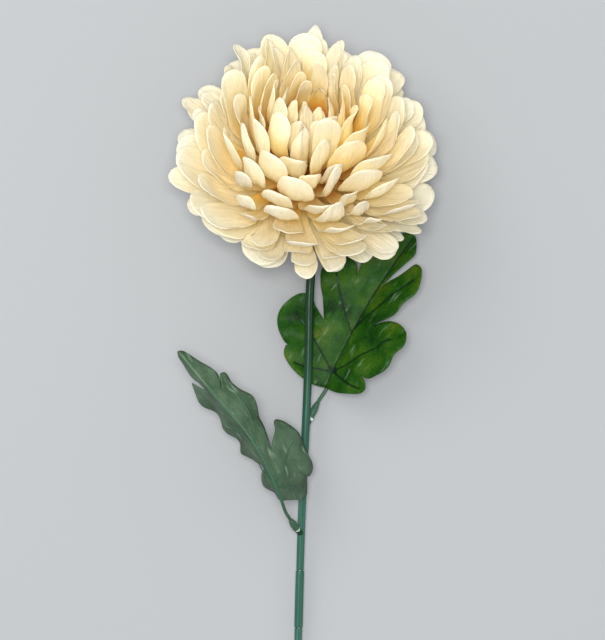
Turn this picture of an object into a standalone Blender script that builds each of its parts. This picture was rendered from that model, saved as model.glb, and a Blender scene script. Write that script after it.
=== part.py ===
"""An artificial chrysanthemum: a cream ball bloom of die-cut fabric petals on a green plastic stem
with two lobed leaves. It lies on a table on its back, with the bloom turned up and to the front.

Metres. +X is to the flower's right, +Y runs up the stem to the bloom, and +Z is up from the table.
"""

import math

import bmesh
import bpy
import numpy as np
from mathutils import Matrix, Vector
from mathutils.geometry import delaunay_2d_cdt

OBJECT_NAME = "chrysanthemum"
MM = 0.001
GAP = 0.3 * MM

# Bloom: its width, how it leans from the stem, and the height of its foot over the table
BLOOM_WIDTH = 136 * MM
BLOOM_TILT = math.radians(52)
BLOOM_LEAN = math.radians(7)
BLOOM_FOOT = Vector((-4.5 * MM, 0, 26.8 * MM))
BALL_CENTRE_HEIGHT = 0.25 * BLOOM_WIDTH
# How far the bloom's heart sits towards its back and its left, at the height of half the width
HEART_SHIFT = Vector((-4.0 * MM, -4.0 * MM, 0))
HEART_SPREAD = 30 * MM
# The outer petals at the front are shorter by this share, which fades to nothing at this share of the way in
FRONT_TRIM = 0.08
TRIM_END = 0.45
# Smooth waves through the ball, which lean the petals to and fro. They fade in between these distances
WAVE_COUNT = 7
WAVE_SIZE = 0.7 * MM
WAVE_LENGTHS = (24 * MM, 44 * MM)
WAVES_FROM = 12 * MM
WAVES_FULL = 45 * MM
WAVE_SEED = 11

# Spindle that carries the petal layers, and the cup under them
SPINDLE_BOTTOM = 0.8 * MM
SPINDLE_TOP = 36 * MM
SPINDLE_BASE_RADIUS = 5.0 * MM
SPINDLE_TOP_RADIUS = 2.4 * MM
SOCKET_DEPTH = 8 * MM
CUP_DEPTH = 8 * MM
CUP_RADIUS = 9 * MM
CUP_FOOT_RADIUS = 3.7 * MM
TURNED_SIDES = 20

# Petal layers, outermost first: each is one die-cut disc with its petals
PETAL_COUNTS = (17, 15, 16, 14, 16, 15, 14, 14, 13, 13, 12, 11, 9, 8, 6)
PETAL_WIDTH = 16.5 * MM
PETAL_THICKNESS = 0.7 * MM
FIRST_LAYER_HEIGHT = 1.2 * MM
LAST_LAYER_HEIGHT = 33 * MM
HUB_RIM = 3.2 * MM
PETAL_SEED = 8
# The stem lies between two petals of each of the outer discs, at this turn from the front
STEM_TURN = 0.27
STEM_DISCS = 5

# For each share of the way in: the tips' angle from the axis, and their reach as a share of half the width
TIP_SHARES = (0.00, 0.20, 0.40, 0.60, 0.80, 1.00)
TIP_ANGLES = (120, 98, 74, 50, 28, 6)
TIP_REACHES = (1.00, 1.02, 0.94, 0.85, 0.74, 0.50)
# For each share of the way in: how steeply a petal leaves its disc, and how steeply its tip stands
RISE_SHARES = (0.00, 0.25, 0.50, 0.75, 1.00)
RISE_ANGLES = (4, 9, 17, 34, 60)
STAND_SHARES = (0.00, 0.12, 0.30, 0.50, 0.75, 1.00)
STAND_ANGLES = (-14, 4, 34, 62, 86, 108)
# How much steeper the tips stand at the front than at the sides, and less steep at the back
FRONT_STAND_SHARES = (0.00, 0.30, 0.60, 1.00)
FRONT_STAND_ANGLES = (8, 30, 32, -14)
ROOT_REACH = 0.42
TIP_REACH = 0.36

# Rows of points along a petal: shares of its length at its edges and down its middle
EDGE_ROWS = (0.30, 0.58, 0.84, 0.95)
MIDDLE_ROWS = (0.30, 0.60, 0.86, 1.00)
LAYER_FREEDOM = 0.40
SIDE_FREEDOM = 0.16
SIDE_FREEDOM_LOST = 0.6
# A petal's own length and breadth lie within these shares of the full ones
LENGTH_SHARES = (0.86, 1.05)
BREADTH_SHARES = (0.90, 1.04)
PETAL_CLEARANCE = 0.03
CUPPING = 0.45

# Stem, from the socket in the spindle down to the cut end
STEM_TOP_RADIUS = 2.4 * MM
STEM_RADIUS = 1.95 * MM
WIRE_RADIUS = 1.0 * MM
BORE_RADIUS = WIRE_RADIUS + GAP + 0.1 * MM
NECK_LENGTH = 9 * MM
NECK_POINTS_END = 40 * MM
NECK_STEP = 4 * MM
STEM_STEP = 20 * MM
STEM_BEND = Vector((0.0, -24, 17.5)) * MM
STEM_KNEE = Vector((0.2, -60, 16.2)) * MM
STEM_LEAF_NODE = Vector((-4.0, -175, 9.9)) * MM
STEM_END = Vector((-7.6, -315, 2.0)) * MM
COLLAR_TOP_Y = -193 * MM
COLLAR_LENGTH = 29.5 * MM
COLLAR_RADIUS = 1.12 * STEM_RADIUS
WIRE_STANDS_OUT = 1 * MM

# Flat outlines of the blades in mm, along the midrib and out from it, from the tip round to the foot.
# Each leaf has its left half, as seen going up the midrib in the photograph, then its right half
RIGHT_BLADE = (
    (
        (81, 0), (80, 4), (77, 7), (69, 12), (60, 15), (53.5, 14), (47, 11), (44, 8.3), (49, 12.5), (53, 16),
        (53.5, 22.5), (48, 28.6), (42, 29.6), (37, 26.8), (31, 21.9), (21.6, 15.5), (25.5, 22.5), (29, 28),
        (28, 32), (23.5, 36), (18.5, 38), (10.5, 37), (5, 32.5), (2.4, 28.3), (4.8, 18.3), (0.8, 27.3),
        (-3.2, 26.4), (-6.5, 22.4), (-9.7, 14), (-10.3, 6),
    ),
    (
        (81, 0), (79, 4), (75, 7.2), (68, 6.2), (59, 3.6), (50, 1.8), (57, 5.4), (66, 9.8), (71.5, 13),
        (71.5, 18.5), (67, 21.7), (56, 23.2), (47, 21), (31, 12.3), (38.5, 20), (39.5, 27.5), (36.5, 34.5),
        (30, 37.2), (20, 35.5), (13, 33.8), (6, 29.7), (4.4, 19.1), (3.8, 25), (1, 27.6), (-3, 25.2),
        (-6, 18.5), (-8.5, 9.5),
    ),
)
LEFT_BLADE = (
    (
        (81, 0), (79.5, 4.5), (76, 9), (69.5, 9.5), (63.5, 6.6), (59, 4.5), (63, 10.5), (68, 18), (67.5, 24),
        (62, 26.5), (52, 26), (46, 24.2), (39, 28), (31, 32.5), (22.5, 32.7), (14, 31), (9.5, 27), (7.5, 20),
        (6.5, 12.5), (4.5, 17), (1, 21), (-3, 21.5), (-6.5, 17.5), (-8.5, 11), (-9.3, 5),
    ),
    (
        (81, 0), (80, 2.7), (75, 5.5), (67.5, 10.2), (64, 10.8), (55, 8.3), (61.8, 13), (61.5, 15.2),
        (54, 17.1), (47, 19.1), (41, 19.4), (35, 17.9), (30.5, 14.7), (25, 11.3), (16, 8.5), (21, 16),
        (25.4, 24.2), (22, 27.6), (15.6, 30), (10, 32.3), (4, 33.9), (-1, 32.2), (-5, 29.5), (-8, 26.3),
        (-1.4, 18), (-7.5, 23), (-12, 24.2), (-16.2, 21.2), (-16, 15.7), (-12.5, 7.6),
    ),
)
LEAF_FOOT = (-9, 0)
LEAF_TIP = 81
# Side ribs of the same halves
RIGHT_RIBS = (
    (
        ((0, 0), (-2, 7), (-4, 14), (-5, 20)),
        ((0, 0), (7, 10.5), (13, 20), (19, 30)),
        ((22, 0), (30, 8), (38, 16), (46, 24)),
    ),
    (
        ((0, 0), (-1, 8), (-2, 16), (-1.5, 23)),
        ((0, 0), (9, 9.5), (20, 19), (30, 29)),
        ((24, 0), (38, 5.5), (50, 11), (64, 16.5)),
    ),
)
LEFT_RIBS = (
    (
        ((0, 0), (-2, 5), (-3, 10)),
        ((0, 0), (6, 7), (11, 13)),
        ((22, 0), (30, 5), (38, 9)),
    ),
    (
        ((0, 0), (-4, 6), (-8, 12), (-11, 18)),
        ((0, 0), (5, 9), (9, 17), (12, 24)),
        ((22, 0), (31, 5.5), (40, 10), (50, 12.5)),
    ),
)
# Nearer the foot than this, the lobes spread as they do here, while the stalk dips away
FOOT_LOBES_FROM = 8
BLADE_THICKNESS = 0.8 * MM
BLADE_STEP = 4.5
BLADE_GRID = 9.0
RIB_RADIUS = 1.0 * MM
RIB_TIP_RADIUS = 0.5 * MM
SIDE_RIB_RADIUS = 0.6 * MM
SLEEVE_RADIUS = 1.9 * MM
SLEEVE_BORE = 1.35 * MM
SLEEVE_LENGTH = 9 * MM
PEG_RADIUS = 1.0 * MM
# The moulded rib fades out here, and the sleeve's bore takes this share of its length
RIB_END = 60
BORE_SHARE = 0.62

# Each leaf's midrib: shares along it in mm from the blade's foot, and the places there in mm
RIGHT_MIDRIB_AT = (-9.2, 0, 14.5, 23.5, 37, 56, 81)
RIGHT_MIDRIB = (
    (8.5, -100, 6.9), (12, -91.5, 6.6), (18.5, -78.5, 6.4), (22.5, -70.5, 6.4), (29, -59, 6.6),
    (39.5, -42.5, 8.0), (54, -22, 13.0),
)
LEFT_MIDRIB_AT = (-12, -6.9, 0, 13.7, 31, 50, 81)
LEFT_MIDRIB = (
    (-12.5, -158.5, 37), (-14, -153.5, 42.5), (-16.5, -147.5, 46.5), (-22, -135, 50.5), (-31.5, -120, 52.5),
    (-44, -106, 52.5), (-65.5, -80.5, 48),
)
# Each sleeve's mouth and the end of its bore side, in mm
RIGHT_SLEEVE = ((0.6, -115, 8.9), (4.6, -107.2, 7.0))
LEFT_SLEEVE = ((-6.5, -171.0, 15.0), (-9.2, -166.6, 22.3))
# How each half of a leaf slopes away from its midrib, in degrees, at its foot and at its tip
RIGHT_SLOPES = ((3, 4), (50, 42))
LEFT_SLOPES = ((-76, -72), (-50, -50))
RIGHT_RIPPLE = 1.2 * MM
LEFT_RIPPLE = 1.5 * MM
RIPPLE_LENGTH = 21.0

CREAM = (0.96, 0.85, 0.62, 1)
STEM_GREEN = (0.03, 0.16, 0.10, 1)
LEAF_GREEN = (0.03, 0.13, 0.03, 1)
STEEL = (0.55, 0.55, 0.56, 1)


def clear_scene():
    for obj in list(bpy.data.objects):
        bpy.data.objects.remove(obj, do_unlink=True)


def new_collection(name):
    collection = bpy.data.collections.new(name)
    bpy.context.scene.collection.children.link(collection)
    return collection


def new_material(name, colour, roughness, metallic=0.0):
    material = bpy.data.materials.new(name)
    material.use_nodes = True
    shader = material.node_tree.nodes["Principled BSDF"]
    shader.inputs["Base Color"].default_value = colour
    shader.inputs["Roughness"].default_value = roughness
    shader.inputs["Metallic"].default_value = metallic
    return material


def new_object(name, mesh, collection, material=None):
    obj = bpy.data.objects.new(name, mesh)
    collection.objects.link(obj)
    if material:
        mesh.materials.append(material)
    mesh.shade_smooth()
    return obj


def smooth_table(x, knots, values):
    """A smooth curve through the values, straight past both ends."""
    knots = np.asarray(knots, float)
    values = np.asarray(values, float)
    x = np.asarray(x, float)
    slopes = np.gradient(values, knots)
    i = np.clip(np.searchsorted(knots, x) - 1, 0, len(knots) - 2)
    span = knots[i + 1] - knots[i]
    t = (x - knots[i]) / span
    inside = np.clip(t, 0, 1)
    curve = (
        (2 * inside**3 - 3 * inside**2 + 1) * values[i]
        + (inside**3 - 2 * inside**2 + inside) * span * slopes[i]
        + (3 * inside**2 - 2 * inside**3) * values[i + 1]
        + (inside**3 - inside**2) * span * slopes[i + 1]
    )
    past = (t - inside) * span
    return curve + past * np.where(past > 0, slopes[i + 1], slopes[i])


def bloom_matrix():
    """From the bloom's own frame, with its axis up and its front at +X, to the flower's frame."""
    axis = Vector((
        math.sin(BLOOM_LEAN),
        math.cos(BLOOM_LEAN) * math.cos(BLOOM_TILT),
        math.cos(BLOOM_LEAN) * math.sin(BLOOM_TILT),
    ))
    side = Vector((0, 0, 1)).cross(axis).normalized()
    front = side.cross(axis)
    turn = Matrix((-front, -side, axis)).transposed()
    return Matrix.Translation(BLOOM_FOOT) @ turn.to_4x4()


def spindle_radius(height):
    share = (height - SPINDLE_BOTTOM) / (SPINDLE_TOP - SPINDLE_BOTTOM)
    return SPINDLE_BASE_RADIUS + (SPINDLE_TOP_RADIUS - SPINDLE_BASE_RADIUS) * share


def layer_height(inward):
    return FIRST_LAYER_HEIGHT + (LAST_LAYER_HEIGHT - FIRST_LAYER_HEIGHT) * inward


def hub_radius(inward):
    return spindle_radius(layer_height(inward)) + 2 * GAP


def bezier(t, a, b, c, d):
    back = 1 - t
    return back**3 * a + 3 * back**2 * t * b + 3 * back * t**2 * c + t**3 * d


def petal_line(inward, along, turn):
    """How far out and how high a petal is: inward says which layer, along how far from root to tip, and
    turn the angle round the axis, 0 at the front."""
    root_out = hub_radius(inward) + HUB_RIM
    root_up = layer_height(inward)
    angle = np.radians(smooth_table(inward, TIP_SHARES, TIP_ANGLES))
    reach = smooth_table(inward, TIP_SHARES, TIP_REACHES) * BLOOM_WIDTH / 2
    tip_out = reach * np.sin(angle)
    tip_up = BALL_CENTRE_HEIGHT + reach * np.cos(angle)
    rise = np.radians(smooth_table(inward, RISE_SHARES, RISE_ANGLES))
    front_stand = smooth_table(inward, FRONT_STAND_SHARES, FRONT_STAND_ANGLES)
    stand = np.radians(smooth_table(inward, STAND_SHARES, STAND_ANGLES) + front_stand * np.cos(turn))
    chord = np.hypot(tip_out - root_out, tip_up - root_up)
    out = bezier(
        along,
        root_out,
        root_out + ROOT_REACH * chord * np.cos(rise),
        tip_out - TIP_REACH * chord * np.cos(stand),
        tip_out,
    )
    up = bezier(
        along,
        root_up,
        root_up + ROOT_REACH * chord * np.sin(rise),
        tip_up - TIP_REACH * chord * np.sin(stand),
        tip_up,
    )
    return out, up


def petal_half_width(along):
    swell = 0.28 + 0.72 * np.sin(np.clip(along / 0.78, 0, 1) * math.pi / 2) ** 2
    close = np.sqrt(1 - np.clip((along - 0.79) / 0.21, 0, 1) ** 2.2)
    return PETAL_WIDTH / 2 * swell * close


def loosened(inward, along, turn):
    """Petals bunched and parted by smooth waves round the bloom, stronger towards the tips."""
    grip = np.clip(along / 0.5, 0, 1) ** 2
    bunch = 0.10 * np.sin(2 * turn + 1.3 + 3 * inward) + 0.07 * np.sin(5 * turn + 2.0 + 9 * inward)
    lift = 0.030 * np.sin(3 * turn + 0.4) + 0.018 * np.sin(5 * turn + 2.1 + 4 * inward)
    return inward + grip * 4 * inward * (1 - inward) * lift, turn + grip * bunch


def waved(point):
    """A point of the ball, moved by the smooth waves."""
    draw = np.random.default_rng(WAVE_SEED)
    share = min(max((point.length - WAVES_FROM) / (WAVES_FULL - WAVES_FROM), 0), 1)
    shift = Vector((0, 0, 0))
    for _ in range(WAVE_COUNT):
        heading = Vector(draw.normal(size=3)).normalized()
        sway = Vector(draw.normal(size=3)).normalized()
        length = draw.uniform(*WAVE_LENGTHS)
        phase = draw.uniform(0, 2 * math.pi)
        shift += sway * WAVE_SIZE * math.sin(2 * math.pi * point.dot(heading) / length + phase)
    return point + share**2 * (3 - 2 * share) * shift


class Petal:
    """One petal's own place and bend, drawn from the seeded numbers."""

    def __init__(self, draw, first_turn, step, inward):
        self.inward = inward
        self.middle = first_turn + step / 2
        self.trim = FRONT_TRIM * max(math.cos(self.middle), 0) ** 2 * max(1 - inward / TRIM_END, 0)
        self.step = step
        self.loose = SIDE_FREEDOM * (1 - SIDE_FREEDOM_LOST * inward)
        self.drift = draw.uniform(-1, 1)
        self.lift = draw.uniform(-1, 1)
        self.curl = draw.uniform(-1, 1)
        self.twist = draw.uniform(-1, 1)
        self.length = draw.uniform(*LENGTH_SHARES)
        self.breadth = draw.uniform(*BREADTH_SHARES)

    def point(self, along, across):
        """A point in the bloom's frame. Across runs from -1 to 1 over the petal's width."""
        reach = along * self.length * (1 - self.trim)
        out, _ = petal_line(self.inward, reach, self.middle)
        room = (0.5 - PETAL_CLEARANCE - self.loose * along**2) * self.step
        half = min(self.breadth * float(petal_half_width(along)) / float(out), room)
        turn = self.middle + self.drift * self.loose * self.step * along**2 + across * half
        spacing = 1 / len(PETAL_COUNTS)
        bend = 0.45 * self.lift * along + 0.25 * self.twist * across
        bend += 0.6 * self.curl * (along**2 - 0.5 * along) + CUPPING * (across**2 - 0.4)
        free = LAYER_FREEDOM * min(along / 0.55, 1) ** 2
        layer = self.inward + spacing * free * math.tanh(1.4 * bend)
        layer, turn = loosened(layer, reach, turn)
        out, up = petal_line(layer, reach, turn)
        height = min(max((up - SPINDLE_TOP / 2) / (BLOOM_WIDTH / 2), 0), 1)
        shift = HEART_SHIFT * height * math.exp(-((out / HEART_SPREAD) ** 2))
        return waved(Vector((out * math.cos(turn), out * math.sin(turn), up)) + shift)


def circle_points(radius, count, start, height):
    turns = [start + 2 * math.pi * i / count for i in range(count)]
    return [Vector((radius * math.cos(turn), radius * math.sin(turn), height)) for turn in turns]


def petal_sheet(index, draw):
    """Points and triangles of one disc: a hub ring, then rows of points up each petal."""
    count = PETAL_COUNTS[index]
    inward = (index + 0.5) / len(PETAL_COUNTS)
    step = 2 * math.pi / count
    start = draw.uniform(0, step)
    if index < STEM_DISCS:
        start = STEM_TURN
    height = layer_height(inward)
    hole = hub_radius(inward) / math.cos(step / 2)
    rim = hub_radius(inward) + HUB_RIM
    points = circle_points(hole, count, start, height) + circle_points(rim, 2 * count, start, height)
    faces = []
    for i in range(count):
        after = (i + 1) % count
        left, middle, right = count + 2 * i, count + 2 * i + 1, count + 2 * after
        faces += [(i, left, middle), (i, middle, after), (after, middle, right)]
        petal = Petal(draw, start + i * step, step, inward)
        for edge_along, middle_along in zip(EDGE_ROWS, MIDDLE_ROWS):
            row = len(points)
            points.append(petal.point(edge_along, -1))
            points.append(petal.point(middle_along, 0))
            points.append(petal.point(edge_along, 1))
            faces += [(left, row, row + 1), (left, row + 1, middle)]
            faces += [(middle, row + 1, row + 2), (middle, row + 2, right)]
            left, middle, right = row, row + 1, row + 2
    return points, faces


def petal_layer(index, draw, matrix, collection, material):
    """A disc of petals, pressed flat where the bloom lies on the table."""
    points, faces = petal_sheet(index, draw)
    lowest = PETAL_THICKNESS / 2 + index * (PETAL_THICKNESS + 1.5 * GAP)
    placed = [matrix @ point for point in points]
    for point in placed:
        point.z = max(point.z, lowest)
    mesh = bpy.data.meshes.new(f"petal_layer_{index + 1:02d}")
    mesh.from_pydata(placed, [], faces)
    obj = new_object(mesh.name, mesh, collection, material)
    add_thickness(obj, PETAL_THICKNESS)
    return obj


def add_thickness(obj, thickness):
    solidify = obj.modifiers.new("thickness", "SOLIDIFY")
    solidify.thickness = thickness
    solidify.offset = 0
    solidify.use_even_offset = False


def turned(name, profile, matrix, collection, material, ring=False):
    """A profile of (radius, height) points, turned about the bloom's axis. A ring's profile is a loop."""
    mesh = bpy.data.meshes.new(name)
    points = [(radius, 0, height) for radius, height in profile]
    lines = [(i, i + 1) for i in range(len(points) - 1)]
    if ring:
        lines.append((len(points) - 1, 0))
    mesh.from_pydata(points, lines, [])
    obj = new_object(name, mesh, collection, material)
    screw = obj.modifiers.new("turn", "SCREW")
    screw.steps = TURNED_SIDES
    screw.render_steps = TURNED_SIDES
    screw.use_merge_vertices = True
    screw.merge_threshold = 0.00001
    obj.matrix_world = matrix
    return obj


def spindle(matrix, collection, material):
    """The core that the discs are threaded on, with a socket for the stem's end."""
    socket = STEM_TOP_RADIUS + 1.3 * GAP
    dome = SPINDLE_TOP_RADIUS
    profile = [
        (0, SPINDLE_TOP + 0.8 * dome),
        (0.6 * dome, SPINDLE_TOP + 0.6 * dome),
        (SPINDLE_TOP_RADIUS, SPINDLE_TOP),
        (SPINDLE_BASE_RADIUS, SPINDLE_BOTTOM),
        (socket, SPINDLE_BOTTOM),
        (socket, SOCKET_DEPTH + SPINDLE_BOTTOM),
        (0, SOCKET_DEPTH + SPINDLE_BOTTOM),
    ]
    return turned("receptacle", profile, matrix, collection, material)


def calyx_cup(matrix, collection, material):
    """The green cup under the petals, threaded on the stem."""
    hole = STEM_TOP_RADIUS + 1.3 * GAP
    top = SPINDLE_BOTTOM - GAP
    profile = [
        (hole, top),
        (CUP_RADIUS, top),
        (CUP_RADIUS, top - 1.0 * MM),
        (0.8 * CUP_RADIUS, top - 0.35 * CUP_DEPTH),
        (0.5 * CUP_RADIUS, top - 0.75 * CUP_DEPTH),
        (CUP_FOOT_RADIUS, top - CUP_DEPTH),
        (hole, top - CUP_DEPTH),
    ]
    return turned("calyx", profile, matrix, collection, material, ring=True)


def tube(name, points, radii, collection, material=None, sides=8):
    """A closed tube along the points, made as a bevelled curve and turned into a mesh."""
    curve = bpy.data.curves.new(name, "CURVE")
    curve.dimensions = "3D"
    curve.twist_mode = "MINIMUM"
    curve.bevel_depth = 1.0
    curve.bevel_resolution = (sides - 4) // 2
    curve.use_fill_caps = True
    spline = curve.splines.new("POLY")
    spline.points.add(len(points) - 1)
    for target, point, radius in zip(spline.points, points, radii):
        target.co = (*point, 1)
        target.radius = radius
    guide = bpy.data.objects.new(name, curve)
    collection.objects.link(guide)
    graph = bpy.context.evaluated_depsgraph_get()
    mesh = bpy.data.meshes.new_from_object(guide.evaluated_get(graph))
    bpy.data.objects.remove(guide, do_unlink=True)
    shape = bmesh.new()
    shape.from_mesh(mesh)
    bmesh.ops.remove_doubles(shape, verts=shape.verts, dist=0.00001)
    bmesh.ops.recalc_face_normals(shape, faces=shape.faces)
    shape.to_mesh(mesh)
    shape.free()
    mesh.name = name
    return new_object(name, mesh, collection, material)


def as_tool(obj):
    obj.hide_render = True
    obj.display_type = "WIRE"
    return obj


def combine(obj, tool, operation):
    boolean = obj.modifiers.new(tool.name, "BOOLEAN")
    boolean.operation = operation
    boolean.object = as_tool(tool)


def stem_line():
    """The stem's centre line from its end in the spindle's socket down to the cut, as a smooth curve."""
    matrix = bloom_matrix()
    knots = [
        matrix @ Vector((0, 0, SPINDLE_BOTTOM + SOCKET_DEPTH - GAP)),
        matrix @ Vector((0, 0, 0)),
        matrix @ Vector((0, 0, -NECK_LENGTH)),
        STEM_BEND,
        STEM_KNEE,
        STEM_LEAF_NODE,
        STEM_END,
    ]
    lengths = np.concatenate([[0], np.cumsum([(b - a).length for a, b in zip(knots, knots[1:])])])
    table = np.array(knots)
    return lengths, table


def stem_points(first, last):
    """Points on the stem between two distances from its top end, close together in the neck."""
    lengths, table = stem_line()
    neck = max(first, NECK_POINTS_END)
    places = []
    for start, end, step in ((first, neck, NECK_STEP), (neck, last, STEM_STEP)):
        places += list(np.linspace(start, end, int(round((end - start) / step)) + 1))[:-1]
    places.append(last)
    columns = [smooth_table(places, lengths, table[:, i]) for i in range(3)]
    return [Vector(point) for point in zip(*columns)]


def stem_distance_at(y):
    """How far down the stem the given Y lies."""
    lengths, table = stem_line()
    tries = np.linspace(lengths[2], lengths[-1], 2000)
    return float(tries[np.argmin(np.abs(smooth_table(tries, lengths, table[:, 1]) - y))])


def stem_piece(name, first, last, radii, collection, tools, material, pegs=()):
    """A stretch of plastic stem with a bore for the wire, and the pegs that the leaves push onto."""
    points = stem_points(first, last)
    widths = np.linspace(radii[0], radii[1], len(points))
    piece = tube(name, points, widths, collection, material, sides=12)
    for number, (root, start, end) in enumerate(pegs):
        line = [root, start, start.lerp(end, 0.5), end]
        peg = tube(f"{name}_peg_{number}", line, [1.4 * PEG_RADIUS] + [PEG_RADIUS] * 3, tools)
        combine(piece, peg, "UNION")
    bore_points = stem_points(first - 2 * MM, last + 2 * MM)
    bore = tube(f"{name}_bore", bore_points, [BORE_RADIUS] * len(bore_points), tools)
    combine(piece, bore, "DIFFERENCE")
    return piece


class Leaf:
    """A lobed fabric blade bent round its midrib, on a moulded rib whose sleeve fits a peg of the stem."""

    def __init__(self, name, halves, ribs, midrib_at, midrib, sleeve, slopes, ripple):
        self.name = name
        self.halves = halves
        self.side_ribs = ribs
        self.mouth, self.inner = [Vector(point) * MM for point in sleeve]
        self.midrib_at = midrib_at
        self.midrib = np.array(midrib) * MM
        self.slopes = slopes
        self.ripple = ripple

    def middle(self, along):
        return Vector([float(smooth_table(along, self.midrib_at, self.midrib[:, i])) for i in range(3)])

    def heading(self, along):
        return (self.middle(along + 1) - self.middle(along - 1)).normalized()

    def side(self, along, half):
        """The way a half of the blade leaves the midrib. Half is 1 on the left going up, or -1."""
        heading = self.heading(max(along, FOOT_LOBES_FROM))
        level = Vector((-heading.y, heading.x, 0)).normalized()
        upward = heading.cross(level).normalized()
        foot, tip = self.slopes[0 if half > 0 else 1]
        share = min(max(along / LEAF_TIP, 0), 1)
        slope = math.radians(foot + (tip - foot) * share)
        return half * math.cos(slope) * level + math.sin(slope) * upward

    def outer_way(self, along):
        """The way the underside faces at the midrib."""
        return -(self.side(along, 1) + self.side(along, -1)).normalized()

    def place(self, along, across, lift=0.0):
        """A point of the blade, from its flat outline in mm, raised off the underside by lift."""
        half = 1 if across >= 0 else -1
        side = self.side(along, half)
        heading = self.heading(along)
        under = heading.cross(side) * half
        under = under if under.dot(self.outer_way(along)) > 0 else -under
        wave = math.sin(2 * math.pi * (along + 0.35 * abs(across)) / RIPPLE_LENGTH)
        fade = min(abs(across) / 20, 1) ** 2
        point = self.middle(along) + side * abs(across) * MM
        if across == 0:
            under = self.outer_way(along)
        return point + under * (self.ripple * wave * fade + lift)

    def outline(self):
        """The whole edge of the flat blade, with a point about every BLADE_STEP."""
        left = [np.array(point, float) for point in self.halves[0]]
        right = [np.array(point, float) * (1, -1) for point in reversed(self.halves[1][1:])]
        corners = left + [np.array(LEAF_FOOT, float)] + right
        edge = []
        for a, b in zip(corners, corners[1:] + corners[:1]):
            pieces = max(1, int(round(np.linalg.norm(b - a) / BLADE_STEP)))
            edge += [tuple(a + (b - a) * i / pieces) for i in range(pieces)]
        return edge

    def ribs(self):
        """Side ribs of both halves, as places in the flat blade."""
        left, right = self.side_ribs
        return list(left) + [[(u, -v) for u, v in rib] for rib in right]

    def blade(self, collection, material):
        edge = self.outline()
        flat = [Vector(point) for point in edge]
        bounds = [(i, (i + 1) % len(edge)) for i in range(len(edge))]
        lines = [[(u, 0) for u in np.linspace(LEAF_FOOT[0], LEAF_TIP, 14)]]
        lines += self.ribs()
        constraints = list(bounds)
        for line in lines:
            first = len(flat)
            flat += [Vector(point) for point in line]
            constraints += [(first + i, first + i + 1) for i in range(len(line) - 1)]
        for u in np.arange(LEAF_FOOT[0] + BLADE_GRID / 2, LEAF_TIP, BLADE_GRID):
            flat += [Vector((u, v)) for v in np.arange(-36, 37, BLADE_GRID) if abs(v) > 1]
        result = delaunay_2d_cdt(flat, constraints, [list(range(len(edge)))], 1, 0.01)
        spots, triangles = result[0], result[2]
        used = sorted({i for triangle in triangles for i in triangle})
        number = {old: new for new, old in enumerate(used)}
        points = [self.place(spots[i].x, spots[i].y if abs(spots[i].y) > 0.02 else 0) for i in used]
        mesh = bpy.data.meshes.new(f"{self.name}_blade")
        mesh.from_pydata(points, [], [[number[i] for i in triangle] for triangle in triangles])
        obj = new_object(mesh.name, mesh, collection, material)
        add_thickness(obj, BLADE_THICKNESS)
        return obj

    def rib(self, collection, tools, material):
        """The moulded rib under the blade: midrib, side ribs, stalk and the sleeve for the peg."""
        seat = BLADE_THICKNESS / 2 + GAP
        mouth, inner = self.mouth, self.inner
        way = (inner - mouth).normalized()
        along = [at for at in self.midrib_at if at < LEAF_FOOT[0] - 1]
        along += list(np.linspace(LEAF_FOOT[0], RIB_END, 11))
        radii = list(np.interp(along, (0, RIB_END), (RIB_RADIUS, RIB_TIP_RADIUS)))
        points = [self.middle(u) + self.outer_way(u) * (seat + r) for u, r in zip(along, radii)]
        points = [inner - way * 1.5 * MM, inner] + points
        radii = [RIB_RADIUS, RIB_RADIUS] + radii
        rib = tube(f"{self.name}_rib", points, radii, collection, material)
        for number, line in enumerate(self.ribs()):
            combine(rib, self.side_rib(f"{self.name}_side_{number}", line, seat, tools), "UNION")
        sleeve_points = [mouth, mouth.lerp(inner, 0.7), inner]
        sleeve_radii = [SLEEVE_RADIUS, SLEEVE_RADIUS, RIB_RADIUS]
        combine(rib, tube(f"{self.name}_sleeve", sleeve_points, sleeve_radii, tools), "UNION")
        bore_points = [mouth - way * 2 * MM, mouth + way * SLEEVE_LENGTH * BORE_SHARE]
        combine(rib, tube(f"{self.name}_bore", bore_points, [SLEEVE_BORE] * 2, tools), "DIFFERENCE")
        return rib

    def side_rib(self, name, line, seat, tools):
        """A thin rib under the blade, rooted in the midrib."""
        lift = seat + 1.6 * SIDE_RIB_RADIUS + 0.2 * MM
        points = [self.place(u, v, lift) for u, v in line]
        points[0] = self.middle(line[0][0]) + self.outer_way(line[0][0]) * (seat + RIB_RADIUS)
        return tube(name, points, [SIDE_RIB_RADIUS] * len(points), tools)

    def peg(self):
        """The peg's root in the stem and its end in the sleeve."""
        mouth = self.mouth
        way = (self.inner - mouth).normalized()
        end = mouth + way * (SLEEVE_LENGTH * BORE_SHARE - 2 * GAP)
        lengths, table = stem_line()
        tries = np.linspace(lengths[2], lengths[-1], 400)
        line = np.stack([smooth_table(tries, lengths, table[:, i]) for i in range(3)], axis=1)
        aim = np.array(mouth - way * 6 * MM)
        root = Vector(line[np.argmin(np.linalg.norm(line - aim, axis=1))])
        return root, mouth - way * 1 * MM, end


def move_origin(objects):
    """Carries every object so that the origin lies under the middle of their box, at its lowest point."""
    graph = bpy.context.evaluated_depsgraph_get()
    corners = []
    for obj in objects:
        if obj.hide_render:
            continue
        solid = obj.evaluated_get(graph)
        corners += [solid.matrix_world @ vertex.co for vertex in solid.data.vertices]
    low, high = np.min(corners, axis=0), np.max(corners, axis=0)
    carrier = bpy.data.objects.new("carrier", None)
    bpy.context.scene.collection.objects.link(carrier)
    carrier.location = (-(low[0] + high[0]) / 2, -(low[1] + high[1]) / 2, -low[2])
    for obj in objects:
        obj.parent = carrier


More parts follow.
